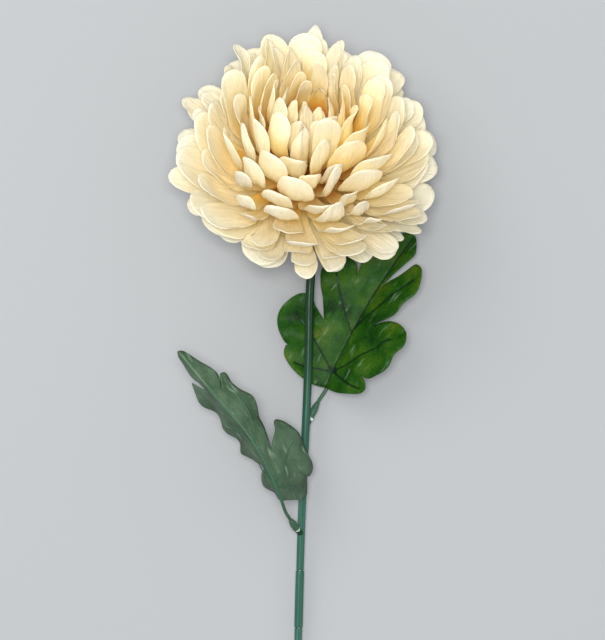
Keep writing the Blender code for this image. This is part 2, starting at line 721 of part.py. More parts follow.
def build():
    clear_scene()
    parts = new_collection(OBJECT_NAME)
    tools = new_collection("cutters")
    cream = new_material("petal_fabric", CREAM, 0.8)
    core = new_material("spindle_plastic", CREAM, 0.5)
    green = new_material("stem_plastic", STEM_GREEN, 0.3)
    leaf_fabric = new_material("leaf_fabric", LEAF_GREEN, 0.7)
    steel = new_material("wire_steel", STEEL, 0.35, 1.0)

    matrix = bloom_matrix()
    spindle(matrix, parts, core)
    calyx_cup(matrix, parts, green)
    draw = np.random.default_rng(PETAL_SEED)
    for index in range(len(PETAL_COUNTS)):
        petal_layer(index, draw, matrix, parts, cream)

    leaves = (
        Leaf(
            "leaf_right", RIGHT_BLADE, RIGHT_RIBS, RIGHT_MIDRIB_AT, RIGHT_MIDRIB, RIGHT_SLEEVE, RIGHT_SLOPES,
            RIGHT_RIPPLE,
        ),
        Leaf(
            "leaf_left", LEFT_BLADE, LEFT_RIBS, LEFT_MIDRIB_AT, LEFT_MIDRIB, LEFT_SLEEVE, LEFT_SLOPES,
            LEFT_RIPPLE,
        ),
    )
    for leaf in leaves:
        leaf.blade(parts, leaf_fabric)
        leaf.rib(parts, tools, green)

    lengths, _ = stem_line()
    collar_top = stem_distance_at(COLLAR_TOP_Y)
    collar_bottom = collar_top + COLLAR_LENGTH
    pegs = [leaf.peg() for leaf in leaves]
    upper = (STEM_TOP_RADIUS, STEM_RADIUS)
    collar = (COLLAR_RADIUS, COLLAR_RADIUS)
    lower = (STEM_RADIUS, STEM_RADIUS)
    stem_piece("stem_upper", 0, collar_top, upper, parts, tools, green, pegs)
    stem_piece("stem_collar", collar_top + GAP, collar_bottom, collar, parts, tools, green)
    stem_piece("stem_lower", collar_bottom + GAP, lengths[-1], lower, parts, tools, green)
    wire = stem_points(0, lengths[-1] + WIRE_STANDS_OUT)
    tube("stem_wire", wire, [WIRE_RADIUS] * len(wire), parts, steel)
    move_origin(list(parts.objects) + list(tools.objects))


build()
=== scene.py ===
"""Looks of the artificial chrysanthemum: cream fabric petals, printed leaves, moulded stem and a studio.

Lengths are in metres unless a name ends in _mm. The flower's own frame has its bloom's foot near the origin;
one shift, which packed_shift works out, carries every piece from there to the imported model's frame.
"""

from __future__ import annotations

import logging
import math
from collections.abc import Sequence
from dataclasses import dataclass, field
from enum import Enum

import bpy
import numpy as np
from mathutils import Matrix, Vector
from mathutils.geometry import delaunay_2d_cdt

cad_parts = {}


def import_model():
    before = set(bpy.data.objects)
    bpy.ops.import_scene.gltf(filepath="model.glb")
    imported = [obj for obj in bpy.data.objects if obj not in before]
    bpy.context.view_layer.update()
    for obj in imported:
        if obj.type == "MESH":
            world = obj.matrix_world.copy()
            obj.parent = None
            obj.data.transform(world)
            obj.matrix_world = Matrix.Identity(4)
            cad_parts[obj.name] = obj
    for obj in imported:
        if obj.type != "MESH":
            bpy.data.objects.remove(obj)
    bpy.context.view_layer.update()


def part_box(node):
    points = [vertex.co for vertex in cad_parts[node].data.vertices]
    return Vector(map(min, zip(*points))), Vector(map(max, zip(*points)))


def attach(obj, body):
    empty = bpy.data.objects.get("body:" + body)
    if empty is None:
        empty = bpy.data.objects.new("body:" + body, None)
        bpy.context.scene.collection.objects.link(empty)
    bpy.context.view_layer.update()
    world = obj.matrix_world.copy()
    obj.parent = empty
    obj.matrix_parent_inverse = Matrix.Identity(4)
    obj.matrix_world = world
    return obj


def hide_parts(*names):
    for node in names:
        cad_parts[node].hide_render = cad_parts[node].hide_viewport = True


LOG = logging.getLogger("chrysanthemum")
MM = 0.001
GAP = 0.3 * MM
HOLE_CLEARANCE = 1.3 * GAP
STEM_TOP_RADIUS = 2.4 * MM
BODY = "root"
NOISE_MIDDLE = 0.5
Colour = tuple[float, float, float]
Span = tuple[float, float]
Profile = tuple[tuple[float, ...], tuple[float, ...]]


# Shader building


@dataclass(frozen=True)
class Value:
    """A number on a node's output. Its operators add Math nodes."""

    graph: Graph
    socket: bpy.types.NodeSocket

    def math(self, operation: str, *numbers: Value | float) -> Value:
        """Add a Math node.

        Args:
            operation: The Math node's operation.
            *numbers: The values or links of its sockets.

        Returns:
            The node's result.
        """
        node = self.graph.add("ShaderNodeMath", {"operation": operation}, dict(enumerate(numbers)))
        return Value(self.graph, node.outputs[0])

    def __add__(self, other: Value | float) -> Value:
        """Return self + other."""
        return self.math("ADD", self, other)

    __radd__ = __add__

    def __sub__(self, other: Value | float) -> Value:
        """Return self - other."""
        return self.math("SUBTRACT", self, other)

    def __rsub__(self, other: float) -> Value:
        """Return other - self."""
        return self.math("SUBTRACT", other, self)

    def __mul__(self, other: Value | float) -> Value:
        """Return self * other."""
        return self.math("MULTIPLY", self, other)

    __rmul__ = __mul__

    def __abs__(self) -> Value:
        """Return the size of the number without its sign."""
        return self.math("ABSOLUTE", self)

    def band(self, start: float, end: float) -> Value:
        """Rise smoothly from 0 at start to 1 at end.

        Args:
            start: The value that gives 0.
            end: The value that gives 1. It may be the lower one.

        Returns:
            The smooth step.
        """
        node = self.graph.add(
            "ShaderNodeMapRange",
            {"interpolation_type": "SMOOTHSTEP"},
            {"Value": self, "From Min": start, "From Max": end},
        )
        return Value(self.graph, node.outputs["Result"])


@dataclass(frozen=True)
class Grain:
    """A noise's scale along its three directions, and how many finer octaves it has.

    Where no third coordinate is given, the third number only sets this noise apart from the others.
    """

    x: float
    y: float
    z: float
    octaves: float


class Graph:
    """The node tree of one material."""

    def __init__(self, name: str) -> None:
        """Start an empty material.

        Args:
            name: The material's name.
        """
        self.material = bpy.data.materials.new(name)
        self.material.use_nodes = True
        self.tree = self.material.node_tree
        self.tree.nodes.clear()

    def add(
        self,
        kind: str,
        settings: dict[str, object] | None = None,
        sockets: dict[str | int, object] | None = None,
    ) -> bpy.types.Node:
        """Add a node.

        Args:
            kind: The node's type.
            settings: Its settings, set first. Stops is a list of a ramp's places and colours.
            sockets: The value or link of each input, by name or number.

        Returns:
            The node.
        """
        node = self.tree.nodes.new(kind)
        for name, setting in (settings or {}).items():
            if name == "stops":
                self._set_stops(node.color_ramp, setting)
            else:
                setattr(node, name, setting)
        for key, given in (sockets or {}).items():
            target = node.inputs[key]
            if isinstance(given, Value):
                self.tree.links.new(given.socket, target)
            elif isinstance(given, bpy.types.NodeSocket):
                self.tree.links.new(given, target)
            else:
                target.default_value = given
        return node

    @staticmethod
    def _set_stops(ramp: bpy.types.ColorRamp, stops: Sequence[tuple[float, Colour]]) -> None:
        """Give a ramp its colours.

        Args:
            ramp: The ramp of a new node.
            stops: Each place from 0 to 1 and its colour.
        """
        ramp.interpolation = "EASE"
        while len(ramp.elements) < len(stops):
            ramp.elements.new(0.5)
        for element, (place, colour) in zip(ramp.elements, stops):
            element.position = place
            element.color = (*colour, 1)

    def attribute(self, name: str) -> Value:
        """Read a number that the mesh holds at its points.

        Args:
            name: The attribute's name.

        Returns:
            Its value.
        """
        node = self.add("ShaderNodeAttribute", {"attribute_name": name})
        return Value(self, node.outputs["Fac"])

    def place(self) -> bpy.types.NodeSocket:
        """Return the place on the object in its own coordinates."""
        return self.add("ShaderNodeTexCoord").outputs["Object"]

    def vector(self, x: Value, y: Value, z: Value | float) -> bpy.types.NodeSocket:
        """Join three numbers.

        Args:
            x: The first number.
            y: The second number.
            z: The third number.

        Returns:
            The vector.
        """
        return self.add("ShaderNodeCombineXYZ", None, {0: x, 1: y, 2: z}).outputs[0]

    def noise(self, vector: bpy.types.NodeSocket, scale: float, detail: float) -> Value:
        """Add a noise texture.

        Args:
            vector: Where it is read.
            scale: Its scale.
            detail: How many finer octaves it has.

        Returns:
            A value about 0.5.
        """
        node = self.add("ShaderNodeTexNoise", None, {"Vector": vector, "Scale": scale, "Detail": detail})
        return Value(self, node.outputs["Fac"])

    def grain(self, grain: Grain, x: Value, y: Value, z: Value | float = 1.0) -> Value:
        """Add a noise that is stretched along the surface's own directions.

        Args:
            grain: Its scales and octaves.
            x: The first coordinate.
            y: The second coordinate.
            z: The third coordinate.

        Returns:
            A value about 0.5.
        """
        return self.noise(self.vector(x * grain.x, y * grain.y, z * grain.z), 1.0, grain.octaves)

    def ramp(self, value: Value, stops: Sequence[tuple[float, Colour]]) -> bpy.types.NodeSocket:
        """Turn a number into a colour.

        Args:
            value: The number.
            stops: Each place from 0 to 1 and its colour.

        Returns:
            The colour.
        """
        return self.add("ShaderNodeValToRGB", {"stops": stops}, {"Fac": value}).outputs["Color"]

    def mix(self, share: Value, first: object, second: object) -> bpy.types.NodeSocket:
        """Mix two colours.

        Args:
            share: How much of the second colour there is.
            first: A colour or a link.
            second: A colour or a link.

        Returns:
            The mixed colour.
        """
        colours = [(*c, 1) if isinstance(c, tuple) else c for c in (first, second)]
        node = self.add("ShaderNodeMix", {"data_type": "RGBA"}, {0: share, 6: colours[0], 7: colours[1]})
        return node.outputs[2]

    def bump(self, height: Value, distance: float) -> bpy.types.NodeSocket:
        """Turn a height into a normal.

        Args:
            height: The height, as a share of the distance.
            distance: The real height of 1, in metres.

        Returns:
            The normal.
        """
        return self.add("ShaderNodeBump", None, {"Height": height, "Distance": distance}).outputs["Normal"]

    def principled(self, **sockets: object) -> bpy.types.NodeSocket:
        """Add the main shader.

        Args:
            **sockets: Its inputs, with an underscore for each space.

        Returns:
            The shader.
        """
        named = {name.replace("_", " "): given for name, given in sockets.items()}
        return self.add("ShaderNodeBsdfPrincipled", None, named).outputs[0]

    def see_through(
        self, solid: bpy.types.NodeSocket, colour: Colour, share: Value | float, normal: bpy.types.NodeSocket
    ) -> bpy.types.NodeSocket:
        """Let light come through a thin sheet.

        Args:
            solid: The shader of the sheet's face.
            colour: The colour of the light that comes through.
            share: How much comes through.
            normal: The face's normal.

        Returns:
            The mixed shader.
        """
        thin = self.add("ShaderNodeBsdfTranslucent", None, {"Color": (*colour, 1), "Normal": normal})
        return self.add("ShaderNodeMixShader", None, {0: share, 1: solid, 2: thin.outputs[0]}).outputs[0]

    def finish(self, shader: bpy.types.NodeSocket) -> bpy.types.Material:
        """Link the shader to the output.

        Args:
            shader: The surface's shader.

        Returns:
            The material.
        """
        self.add("ShaderNodeOutputMaterial", None, {"Surface": shader})
        return self.material


# Finishes


@dataclass(frozen=True)
class PetalFabric:
    """Thin cream polyester, dyed orange-yellow towards the roots, with fine lengthwise pressed lines and a
    painted highlight along its side edges.
    """

    name: str = "petal_fabric"
    dye: tuple[tuple[float, Colour], ...] = (
        (0.00, (0.98, 0.380, 0.025)),
        (0.18, (0.99, 0.610, 0.110)),
        (0.34, (0.99, 0.820, 0.380)),
        (0.55, (0.96, 0.880, 0.640)),
        (0.80, (0.85, 0.805, 0.660)),
        (0.97, (0.77, 0.765, 0.690)),
    )
    # Painted highlight along the petals' side edges, standing in for the light that their thin rims catch.
    edge_highlight: Colour = (0.97, 0.93, 0.80)
    edge_highlight_share: float = 0.12
    edge_highlight_across: Span = (0.93, 1.0)
    edge_highlight_along: Span = (0.30, 0.75)
    light_through: Colour = (1.00, 0.92, 0.68)
    through_at_root: float = 0.58
    through_lost: float = 0.12
    through_fades: Span = (0.45, 1.0)
    roughness: float = 0.62
    specular: float = 0.25
    sheen: float = 0.15
    sheen_roughness: float = 0.5
    streaks: Grain = Grain(1.6, 0.10, 40.0, 3.0)
    streak_share: float = 0.20
    cloud: Grain = Grain(0.10, 0.08, 55.0, 2.0)
    cloud_share: float = 0.26
    lines: Grain = Grain(1.5, 0.035, 70.0, 4.0)
    line_rise: float = 1.5
    crumple: Grain = Grain(0.36, 0.09, 33.0, 2.0)
    crumple_rise: float = 3.0
    weave: Grain = Grain(7.0, 7.0, 20.0, 1.0)
    weave_rise: float = 0.10
    relief: float = 0.30 * MM

    def make(self) -> bpy.types.Material:
        """Return the material."""
        graph = Graph(self.name)
        along = graph.attribute("along")
        across = graph.attribute("across")
        warmth = graph.attribute("warmth")
        own = (graph.attribute("over_mm"), graph.attribute("up_mm"), graph.attribute("tone"))
        streaks = graph.grain(self.streaks, *own) - NOISE_MIDDLE
        cloud = graph.grain(self.cloud, *own) - NOISE_MIDDLE
        dyed = along + self.streak_share * streaks + self.cloud_share * cloud - warmth
        # Painted highlight: a lighter cream line along the side edges, rising from about a third of the way
        # up to full at three quarters.
        edge = abs(across).band(*self.edge_highlight_across) * along.band(*self.edge_highlight_along)
        colour = graph.mix(self.edge_highlight_share * edge, graph.ramp(dyed, self.dye), self.edge_highlight)
        lines = self.line_rise * graph.grain(self.lines, *own)
        crumple = self.crumple_rise * graph.grain(self.crumple, *own)
        weave = self.weave_rise * graph.grain(self.weave, *own)
        normal = graph.bump(lines + crumple + weave, self.relief)
        face = graph.principled(
            Base_Color=colour,
            Roughness=self.roughness,
            Normal=normal,
            Specular_IOR_Level=self.specular,
            Sheen_Weight=self.sheen,
            Sheen_Roughness=self.sheen_roughness,
        )
        through = self.through_at_root - self.through_lost * along.band(*self.through_fades)
        return graph.finish(graph.see_through(face, self.light_through, through, normal))


class LeafFace(Enum):
    """The two faces of a printed leaf."""

    UPPER = "upper"
    UNDER = "under"


@dataclass(frozen=True)
class LeafFabric:
    """Waxed polyester leaf, printed green with darker veins, paler and duller underneath. On the upper face
    the dark veins are partly print and partly painted shade in the pressed veins; on both faces the pale
    streaks along the creases are painted highlights.
    """

    face: LeafFace
    greens: tuple[tuple[float, Colour], ...]
    vein: Colour
    vein_share: float
    # The colour of the painted highlight streaks, and how strongly they show.
    painted_highlight: Colour
    streak_share: float
    roughness: float
    gloss: float
    vein_band: Span = (0.45, 0.90)
    patches: Grain = Grain(0.055, 0.055, 3.0, 4.0)
    grain: Grain = Grain(0.9, 0.9, 7.0, 4.0)
    grain_share: float = 0.28
    grain_roughness: float = 0.20
    highlight_streaks: Grain = Grain(0.09, 0.42, 11.0, 4.0)
    highlight_streak_band: Span = (0.52, 0.74)
    highlight_patches: Grain = Grain(0.12, 0.12, 23.0, 2.0)
    highlight_patch_slant: float = 0.10 / 0.12
    highlight_patch_band: Span = (0.45, 0.65)
    weave: Grain = Grain(4.2, 4.2, 5.0, 2.0)
    weave_rise: float = 0.30
    creases: Grain = Grain(0.35, 0.35, 13.0, 3.0)
    crease_rise: float = 1.6
    relief: float = 0.25 * MM
    light_through: Colour = (0.16, 0.34, 0.06)
    through: float = 0.10

    @property
    def name(self) -> str:
        """Return the material's name."""
        return f"leaf_fabric_{self.face.value}"

    def make(self) -> bpy.types.Material:
        """Return the material."""
        graph = Graph(self.name)
        u = graph.attribute("u_mm")
        v = graph.attribute("v_mm")
        vein = graph.attribute("vein")
        grain = graph.grain(self.grain, u, v) - NOISE_MIDDLE
        colour = graph.ramp(graph.grain(self.patches, u, v) + self.grain_share * grain, self.greens)
        # Painted highlight: pale streaks along the creases, shown only in patches, stand in for glossy
        # reflections.
        highlight_streaks = graph.grain(self.highlight_streaks, u, v).band(*self.highlight_streak_band)
        highlight_patches = graph.grain(self.highlight_patches, u + v * self.highlight_patch_slant, v).band(*self.highlight_patch_band)
        colour = graph.mix(self.streak_share * highlight_streaks * highlight_patches, colour, self.painted_highlight)
        # Darker towards the vein colour near the veins: on the upper face partly print and partly painted
        # shade in the pressed veins.
        colour = graph.mix(self.vein_share * vein.band(*self.vein_band), colour, self.vein)
        weave = self.weave_rise * graph.grain(self.weave, u, v)
        normal = graph.bump(weave + self.crease_rise * graph.grain(self.creases, u, v), self.relief)
        face = graph.principled(
            Base_Color=colour,
            Roughness=self.roughness + self.grain_roughness * grain,
            Normal=normal,
            Specular_IOR_Level=self.gloss,
        )
        return graph.finish(graph.see_through(face, self.light_through, self.through, normal))


@dataclass(frozen=True)
class MouldedPlastic:
    """Glossy moulded polyethylene, with flow streaks along it and painted shade towards the top of each
    length.
    """

    name: str
    greens: tuple[tuple[float, Colour], ...]
    shaded: Colour
    roughness: float = 0.34
    specular: float = 0.22
    flow: Grain = Grain(5.0, 0.02, 2.0, 4.0)
    flow_share: float = 0.5
    flow_roughness: float = 0.22
    drift: Grain = Grain(0.6, 0.03, 9.0, 3.0)
    scratch: Grain = Grain(14.0, 0.22, 5.0, 3.0)
    scratch_depth: float = 0.05 * MM
    shade_share: float = 0.92
    shade_mm: Span = (160.0, 80.0)

    def make(self) -> bpy.types.Material:
        """Return the material."""
        graph = Graph(self.name)
        around = graph.attribute("around")
        down = graph.attribute("down_mm")
        flow = graph.grain(self.flow, around, down)
        drift = graph.grain(self.drift, around, down)
        colour = graph.ramp(self.flow_share * flow + (1 - self.flow_share) * drift, self.greens)
        # Painted shade: darker towards the top end of each length, mixed towards the shaded colour over its
        # first 80 to 160 mm, for the bloom's shade on the stem and cup.
        colour = graph.mix(self.shade_share * down.band(*self.shade_mm), colour, self.shaded)
        normal = graph.bump(graph.grain(self.scratch, around, down), self.scratch_depth)
        face = graph.principled(
            Base_Color=colour,
            Roughness=self.roughness + self.flow_roughness * (flow - NOISE_MIDDLE),
            Normal=normal,
            Specular_IOR_Level=self.specular,
        )
        return graph.finish(face)


@dataclass(frozen=True)
class PlainFinish:
    """A finish for a carried-over solid, with a little grain in its colour and gloss."""

    name: str
    dark: Colour
    light: Colour
    roughness: float
    metallic: float = 0.0
    grain_scale: float = 400.0
    grain_octaves: float = 4.0
    grain_band: Span = (0.30, 0.70)
    grain_roughness: float = 0.2
    grain_depth: float = 0.05 * MM

    def make(self) -> bpy.types.Material:
        """Return the material."""
        graph = Graph(self.name)
        grain = graph.noise(graph.place(), self.grain_scale, self.grain_octaves)
        colour = graph.mix(grain.band(*self.grain_band), self.dark, self.light)
        face = graph.principled(
            Base_Color=colour,
            Roughness=self.roughness + self.grain_roughness * (grain - NOISE_MIDDLE),
            Metallic=self.metallic,
            Normal=graph.bump(grain, self.grain_depth),
        )
        return graph.finish(face)


@dataclass(frozen=True)
class GlueFinish:
    """Clear hot glue gone milky, in blobs and threads."""

    name: str = "glue"
    clear: Colour = (0.30, 0.42, 0.34)
    milky: Colour = (0.74, 0.78, 0.72)
    milky_band: Span = (0.35, 0.65)
    light_through: Colour = (0.6, 0.7, 0.6)
    through: float = 0.35
    roughness: float = 0.25
    coat: float = 0.3
    cloud_scale: float = 900.0
    cloud_octaves: float = 3.0
    cloud_depth: float = 0.2 * MM

    def make(self) -> bpy.types.Material:
        """Return the material."""
        graph = Graph(self.name)
        cloud = graph.noise(graph.place(), self.cloud_scale, self.cloud_octaves)
        normal = graph.bump(cloud, self.cloud_depth)
        colour = graph.mix(cloud.band(*self.milky_band), self.clear, self.milky)
        face = graph.principled(
            Base_Color=colour, Roughness=self.roughness, Normal=normal, Coat_Weight=self.coat
        )
        return graph.finish(graph.see_through(face, self.light_through, self.through, normal))


@dataclass(frozen=True)
class StudioPaper:
    """Plain pale grey paper under the flower."""

    name: str = "studio_paper"
    colour: Colour = (0.262, 0.272, 0.280)
    roughness: float = 0.85
    grain_scale: float = 600.0
    grain_octaves: float = 2.0
    grain_depth: float = 0.03 * MM

    def make(self) -> bpy.types.Material:
        """Return the material."""
        graph = Graph(self.name)
        grain = graph.noise(graph.place(), self.grain_scale, self.grain_octaves)
        normal = graph.bump(grain, self.grain_depth)
        face = graph.principled(Base_Color=(*self.colour, 1), Roughness=self.roughness, Normal=normal)
        return graph.finish(face)


PETALS = PetalFabric()
LEAF_UPPER = LeafFabric(
    face=LeafFace.UPPER,
    greens=(
        (0.34, (0.003, 0.025, 0.001)),
        (0.47, (0.009, 0.053, 0.002)),
        (0.58, (0.024, 0.075, 0.003)),
        (0.70, (0.075, 0.105, 0.005)),
    ),
    # Near-black veins: partly print and partly painted shade in the pressed veins.
    vein=(0.002, 0.010, 0.004),
    vein_share=0.92,
    # Painted highlight streaks along the creases.
    painted_highlight=(0.16, 0.24, 0.15),
    streak_share=0.60,
    roughness=0.46,
    gloss=0.10,
)
LEAF_UNDER = LeafFabric(
    face=LeafFace.UNDER,
    greens=(
        (0.34, (0.030, 0.064, 0.032)),
        (0.50, (0.050, 0.094, 0.052)),
        (0.66, (0.080, 0.135, 0.080)),
    ),
    vein=(0.10, 0.17, 0.10),
    vein_share=0.5,
    # Painted highlight streaks along the creases.
    painted_highlight=(0.30, 0.42, 0.33),
    streak_share=0.60,
    roughness=0.60,
    gloss=0.25,
)
STEM_PLASTIC = MouldedPlastic(
    name="stem_plastic",
    greens=(
        (0.30, (0.006, 0.042, 0.026)),
        (0.50, (0.016, 0.072, 0.048)),
        (0.70, (0.050, 0.140, 0.100)),
    ),
    shaded=(0.001, 0.019, 0.002),
)
RIB_PLASTIC = MouldedPlastic(
    name="rib_plastic",
    greens=(
        (0.30, (0.008, 0.045, 0.018)),
        (0.50, (0.025, 0.075, 0.040)),
        (0.70, (0.100, 0.170, 0.140)),
    ),
    shaded=(0.025, 0.075, 0.040),
    roughness=0.42,
)
CORE_PLASTIC = PlainFinish("core_plastic", (0.55, 0.22, 0.03), (0.80, 0.42, 0.08), 0.5)
WIRE_STEEL = PlainFinish("wire_steel", (0.30, 0.29, 0.28), (0.55, 0.55, 0.56), 0.4, metallic=1.0)
GLUE = GlueFinish()
PAPER = StudioPaper()


# Geometry helpers

# A direction that no line here runs along, to set the first side of a swept section.
ASLANT = (0.31, 0.17, 0.93)


@dataclass(frozen=True)
class Table:
    """A smooth curve through the values at the knots, straight past both ends."""

    knots: tuple[float, ...]
    values: tuple[float, ...]

    def at(self, x: np.ndarray | float) -> np.ndarray:
        """Read the curve.

        Args:
            x: Where to read it.

        Returns:
            The values there.
        """
        knots = np.asarray(self.knots, float)
        values = np.asarray(self.values, float)
        x = np.asarray(x, float)
        slopes = np.gradient(values, knots)
        i = np.clip(np.searchsorted(knots, x) - 1, 0, len(knots) - 2)
        span = knots[i + 1] - knots[i]
        t = (x - knots[i]) / span
        inside = np.clip(t, 0, 1)
        curve = (
            (2 * inside**3 - 3 * inside**2 + 1) * values[i]
            + (inside**3 - 2 * inside**2 + inside) * span * slopes[i]
            + (3 * inside**2 - 2 * inside**3) * values[i + 1]
            + (inside**3 - inside**2) * span * slopes[i + 1]
        )
        past = (t - inside) * span
        return curve + past * np.where(past > 0, slopes[i + 1], slopes[i])


def unit(vectors: np.ndarray) -> np.ndarray:
    """Scale vectors to length 1.

    Args:
        vectors: Their last axis holds x, y and z.

    Returns:
        The scaled vectors.
    """
    return vectors / np.maximum(np.linalg.norm(vectors, axis=-1, keepdims=True), 1e-12)


def smooth_step(x: np.ndarray | float, start: float, end: float) -> np.ndarray:
    """Rise smoothly from 0 at start to 1 at end.

    Args:
        x: Where to read it.
        start: The value that gives 0.
        end: The value that gives 1.

    Returns:
        The values there.
    """
    t = np.clip((np.asarray(x, float) - start) / (end - start), 0, 1)
    return t * t * (3 - 2 * t)


def bezier(t: np.ndarray, a: np.ndarray, b: np.ndarray, c: np.ndarray, d: np.ndarray) -> np.ndarray:
    """Read a cubic curve.

    Args:
        t: From 0 to 1.
        a: Where it starts.
        b: The first control value.
        c: The second control value.
        d: Where it ends.

    Returns:
        The values there.
    """
    back = 1 - t
    return back**3 * a + 3 * back**2 * t * b + 3 * back * t**2 * c + t**3 * d


@dataclass
class Shape:
    """Points, faces and the numbers held at the points, gathered into one mesh."""

    points: list[np.ndarray] = field(default_factory=list)
    faces: list[tuple[int, ...]] = field(default_factory=list)
    numbers: dict[str, list[np.ndarray]] = field(default_factory=dict)
    count: int = 0

    def add_points(self, points: np.ndarray, **numbers: np.ndarray | float) -> np.ndarray:
        """Add points.

        Args:
            points: Rows of x, y and z.
            **numbers: What each attribute holds at them.

        Returns:
            Their indices.
        """
        points = np.asarray(points, float).reshape(-1, 3)
        self.points.append(points)
        for name, held in numbers.items():
            spread = np.broadcast_to(np.asarray(held, float).reshape(-1), (len(points),))
            self.numbers.setdefault(name, []).append(spread)
        first = self.count
        self.count += len(points)
        return np.arange(first, self.count)

    def add_grid(self, index: np.ndarray) -> None:
        """Join a grid of point indices with quads.

        Args:
            index: Rows and columns of indices.
        """
        quads = np.stack([index[:-1, :-1], index[:-1, 1:], index[1:, 1:], index[1:, :-1]], axis=-1)
        self.faces += [tuple(quad) for quad in quads.reshape(-1, 4).tolist()]

    def object(self, name: str, materials: Sequence[bpy.types.Material]) -> bpy.types.Object:
        """Make the object.

        Args:
            name: Its name.
            materials: Its finishes.

        Returns:
            The new object, in the scene.
        """
        mesh = bpy.data.meshes.new(name)
        mesh.from_pydata(np.concatenate(self.points).tolist(), [], self.faces)
        for label, held in self.numbers.items():
            data = mesh.attributes.new(label, "FLOAT", "POINT").data
            data.foreach_set("value", np.concatenate(held).astype(np.float32))
        for material in materials:
            mesh.materials.append(material)
        mesh.shade_smooth()
        obj = bpy.data.objects.new(name, mesh)
        bpy.context.scene.collection.objects.link(obj)
        return obj


def add_sheet_thickness(obj: bpy.types.Object, thickness: float, two_faced: bool = False) -> None:
    """Give a sheet its thickness, half to each side.

    Args:
        obj: The sheet.
        thickness: Its thickness.
        two_faced: Whether the second face takes the second material.
    """
    solidify = obj.modifiers.new("thickness", "SOLIDIFY")
    solidify.thickness = thickness
    solidify.offset = 0
    solidify.use_even_offset = False
    solidify.material_offset = int(two_faced)


def distances_along(points: np.ndarray) -> np.ndarray:
    """Measure how far along a line each of its points is.

    Args:
        points: The line's points.

    Returns:
        The distances from the first.
    """
    return np.concatenate([[0], np.cumsum(np.linalg.norm(np.diff(points, axis=0), axis=1))])


def line_at(knots: Sequence[float], points: np.ndarray, places: np.ndarray | float) -> np.ndarray:
    """Read a smooth line through points.

    Args:
        knots: How far along the line each point is.
        points: Where it passes.
        places: How far along it is read.

    Returns:
        The points there.
    """
    return np.stack([Table(tuple(knots), tuple(column)).at(places) for column in points.T], axis=-1)


def profile_along(line: np.ndarray, profile: Profile) -> np.ndarray:
    """Read a profile evenly over a line's points.

    Args:
        line: The line's points.
        profile: Places from 0 to 1, and the values there.

    Returns:
        A value for each point.
    """
    return np.interp(np.linspace(0, 1, len(line)), *profile)


def around_ring(turn: np.ndarray) -> np.ndarray:
    """Number the points of a ring so that the numbers meet where it closes.

    Args:
        turn: The angle of each point.

    Returns:
        The numbers.
    """
    return 1 + 0.5 * np.cos(turn)


def sweep(
    shape: Shape,
    points: np.ndarray,
    radii: np.ndarray,
    sides: int,
    grooves: float = 0.0,
    groove_count: int = 6,
    start_mm: float = 0.0,
) -> None:
    """Sweep a round, lightly grooved section along a line and close its ends.

    Args:
        shape: What the tube is added to.
        points: The line's points.
        radii: The radius at each.
        sides: Points round the section.
        grooves: Depth of the grooves as a share of the radius.
        groove_count: How many grooves run along it.
        start_mm: How far down the whole stem its first point lies.
    """
    heading = unit(np.gradient(points, axis=0))
    across = unit(np.cross(heading[0], ASLANT))
    turn = np.linspace(0, 2 * math.pi, sides, endpoint=False)
    section = 1 - grooves * (0.5 - 0.5 * np.cos(groove_count * turn)) ** 3
    down = distances_along(points) / MM
    rows = []
    for point, way, radius, far in zip(points, heading, radii, down):
        across = unit(across - way * np.dot(across, way))
        other = np.cross(way, across)
        ring = np.outer(np.cos(turn), across) + np.outer(np.sin(turn), other)
        ring = point + ring * (radius * section)[:, None]
        rows.append(shape.add_points(ring, around=around_ring(turn), down_mm=start_mm + far))
    index = np.array(rows)
    shape.add_grid(np.concatenate([index, index[:, :1]], axis=1)[:, ::-1])
    shape.faces.append(tuple(index[0].tolist()))
    shape.faces.append(tuple(index[-1][::-1].tolist()))


def smooth_line(points: Sequence[Sequence[float]], step: float) -> np.ndarray:
    """Draw a smooth line through points.

    Args:
        points: Where it passes.
        step: About how far apart its points are.

    Returns:
        The line's points.
    """
    knots = np.asarray(points, float)
    lengths = distances_along(knots)
    places = np.linspace(0, lengths[-1], max(2, int(round(lengths[-1] / step)) + 1))
    return line_at(lengths, knots, places)


# The bloom


@dataclass
class Petal:
    """One petal's own place and bend. The first numbers repeat the solid's draw, and the rest are finer."""

    middle: float
    step: float
    drift: float
    lift: float
    curl: float
    twist: float
    length: float
    breadth: float
    trim: float
    folds: float
    fold_phase: float
    flutter: float
    flutter_phase: float
    tip_curl: float
    point: float
    tone: float


@dataclass(frozen=True)
class TurnWave:
    """A wave round the bloom. Its phase moves with the disc."""

    size: float
    count: int
    phase: float
    inward_phase: float

    def at(self, turn: np.ndarray, inward: np.ndarray) -> np.ndarray:
        """Read the wave.

        Args:
            turn: The angle round the axis.
            inward: Which disc, from 0 outside to 1 inside.

        Returns:
            The wave's height.
        """
        return self.size * np.sin(self.count * turn + self.phase + self.inward_phase * inward)


@dataclass(frozen=True)
class PetalForm:
    """How each petal is formed. A number with no unit is a share of its length or width, or of a bend."""

    length_shares: Span = (0.86, 1.05)
    breadth_shares: Span = (0.90, 1.04)
    root_breadth: float = 0.28
    widest_at: float = 0.78
    parted_at: float = 0.16
    shoulder: float = 0.79
    tip_points: Span = (2.2, 3.3)
    lift: float = 0.45
    twist: float = 0.25
    curl: float = 0.6
    cupping: float = 0.45
    cup_middle: float = 0.4
    bend_gain: float = 1.4
    free_at: float = 0.55
    relief_along: Span = (0.15, 0.55)
    folds: Span = (0.8, 2.4)
    fold_mm: float = 0.34
    fold_reach: float = 0.9
    flute_mm: float = 0.10
    flutes: float = 4.5
    flutes_along: Span = (0.2, 0.6)
    flutters_mm: Span = (0.25, 0.85)
    flutter_rate: float = 11
    flutter_slant: float = 1.5
    tip_curls_mm: Span = (-1.3, 1.9)
    tip_curl_along: Span = (0.76, 1.0)
    tip_curl_power: float = 1.5
    tip_curl_middle: float = 1.4
    warmth_outside: float = -0.08
    warmth_inward: float = 0.36
    warmth_spread: float = 0.24


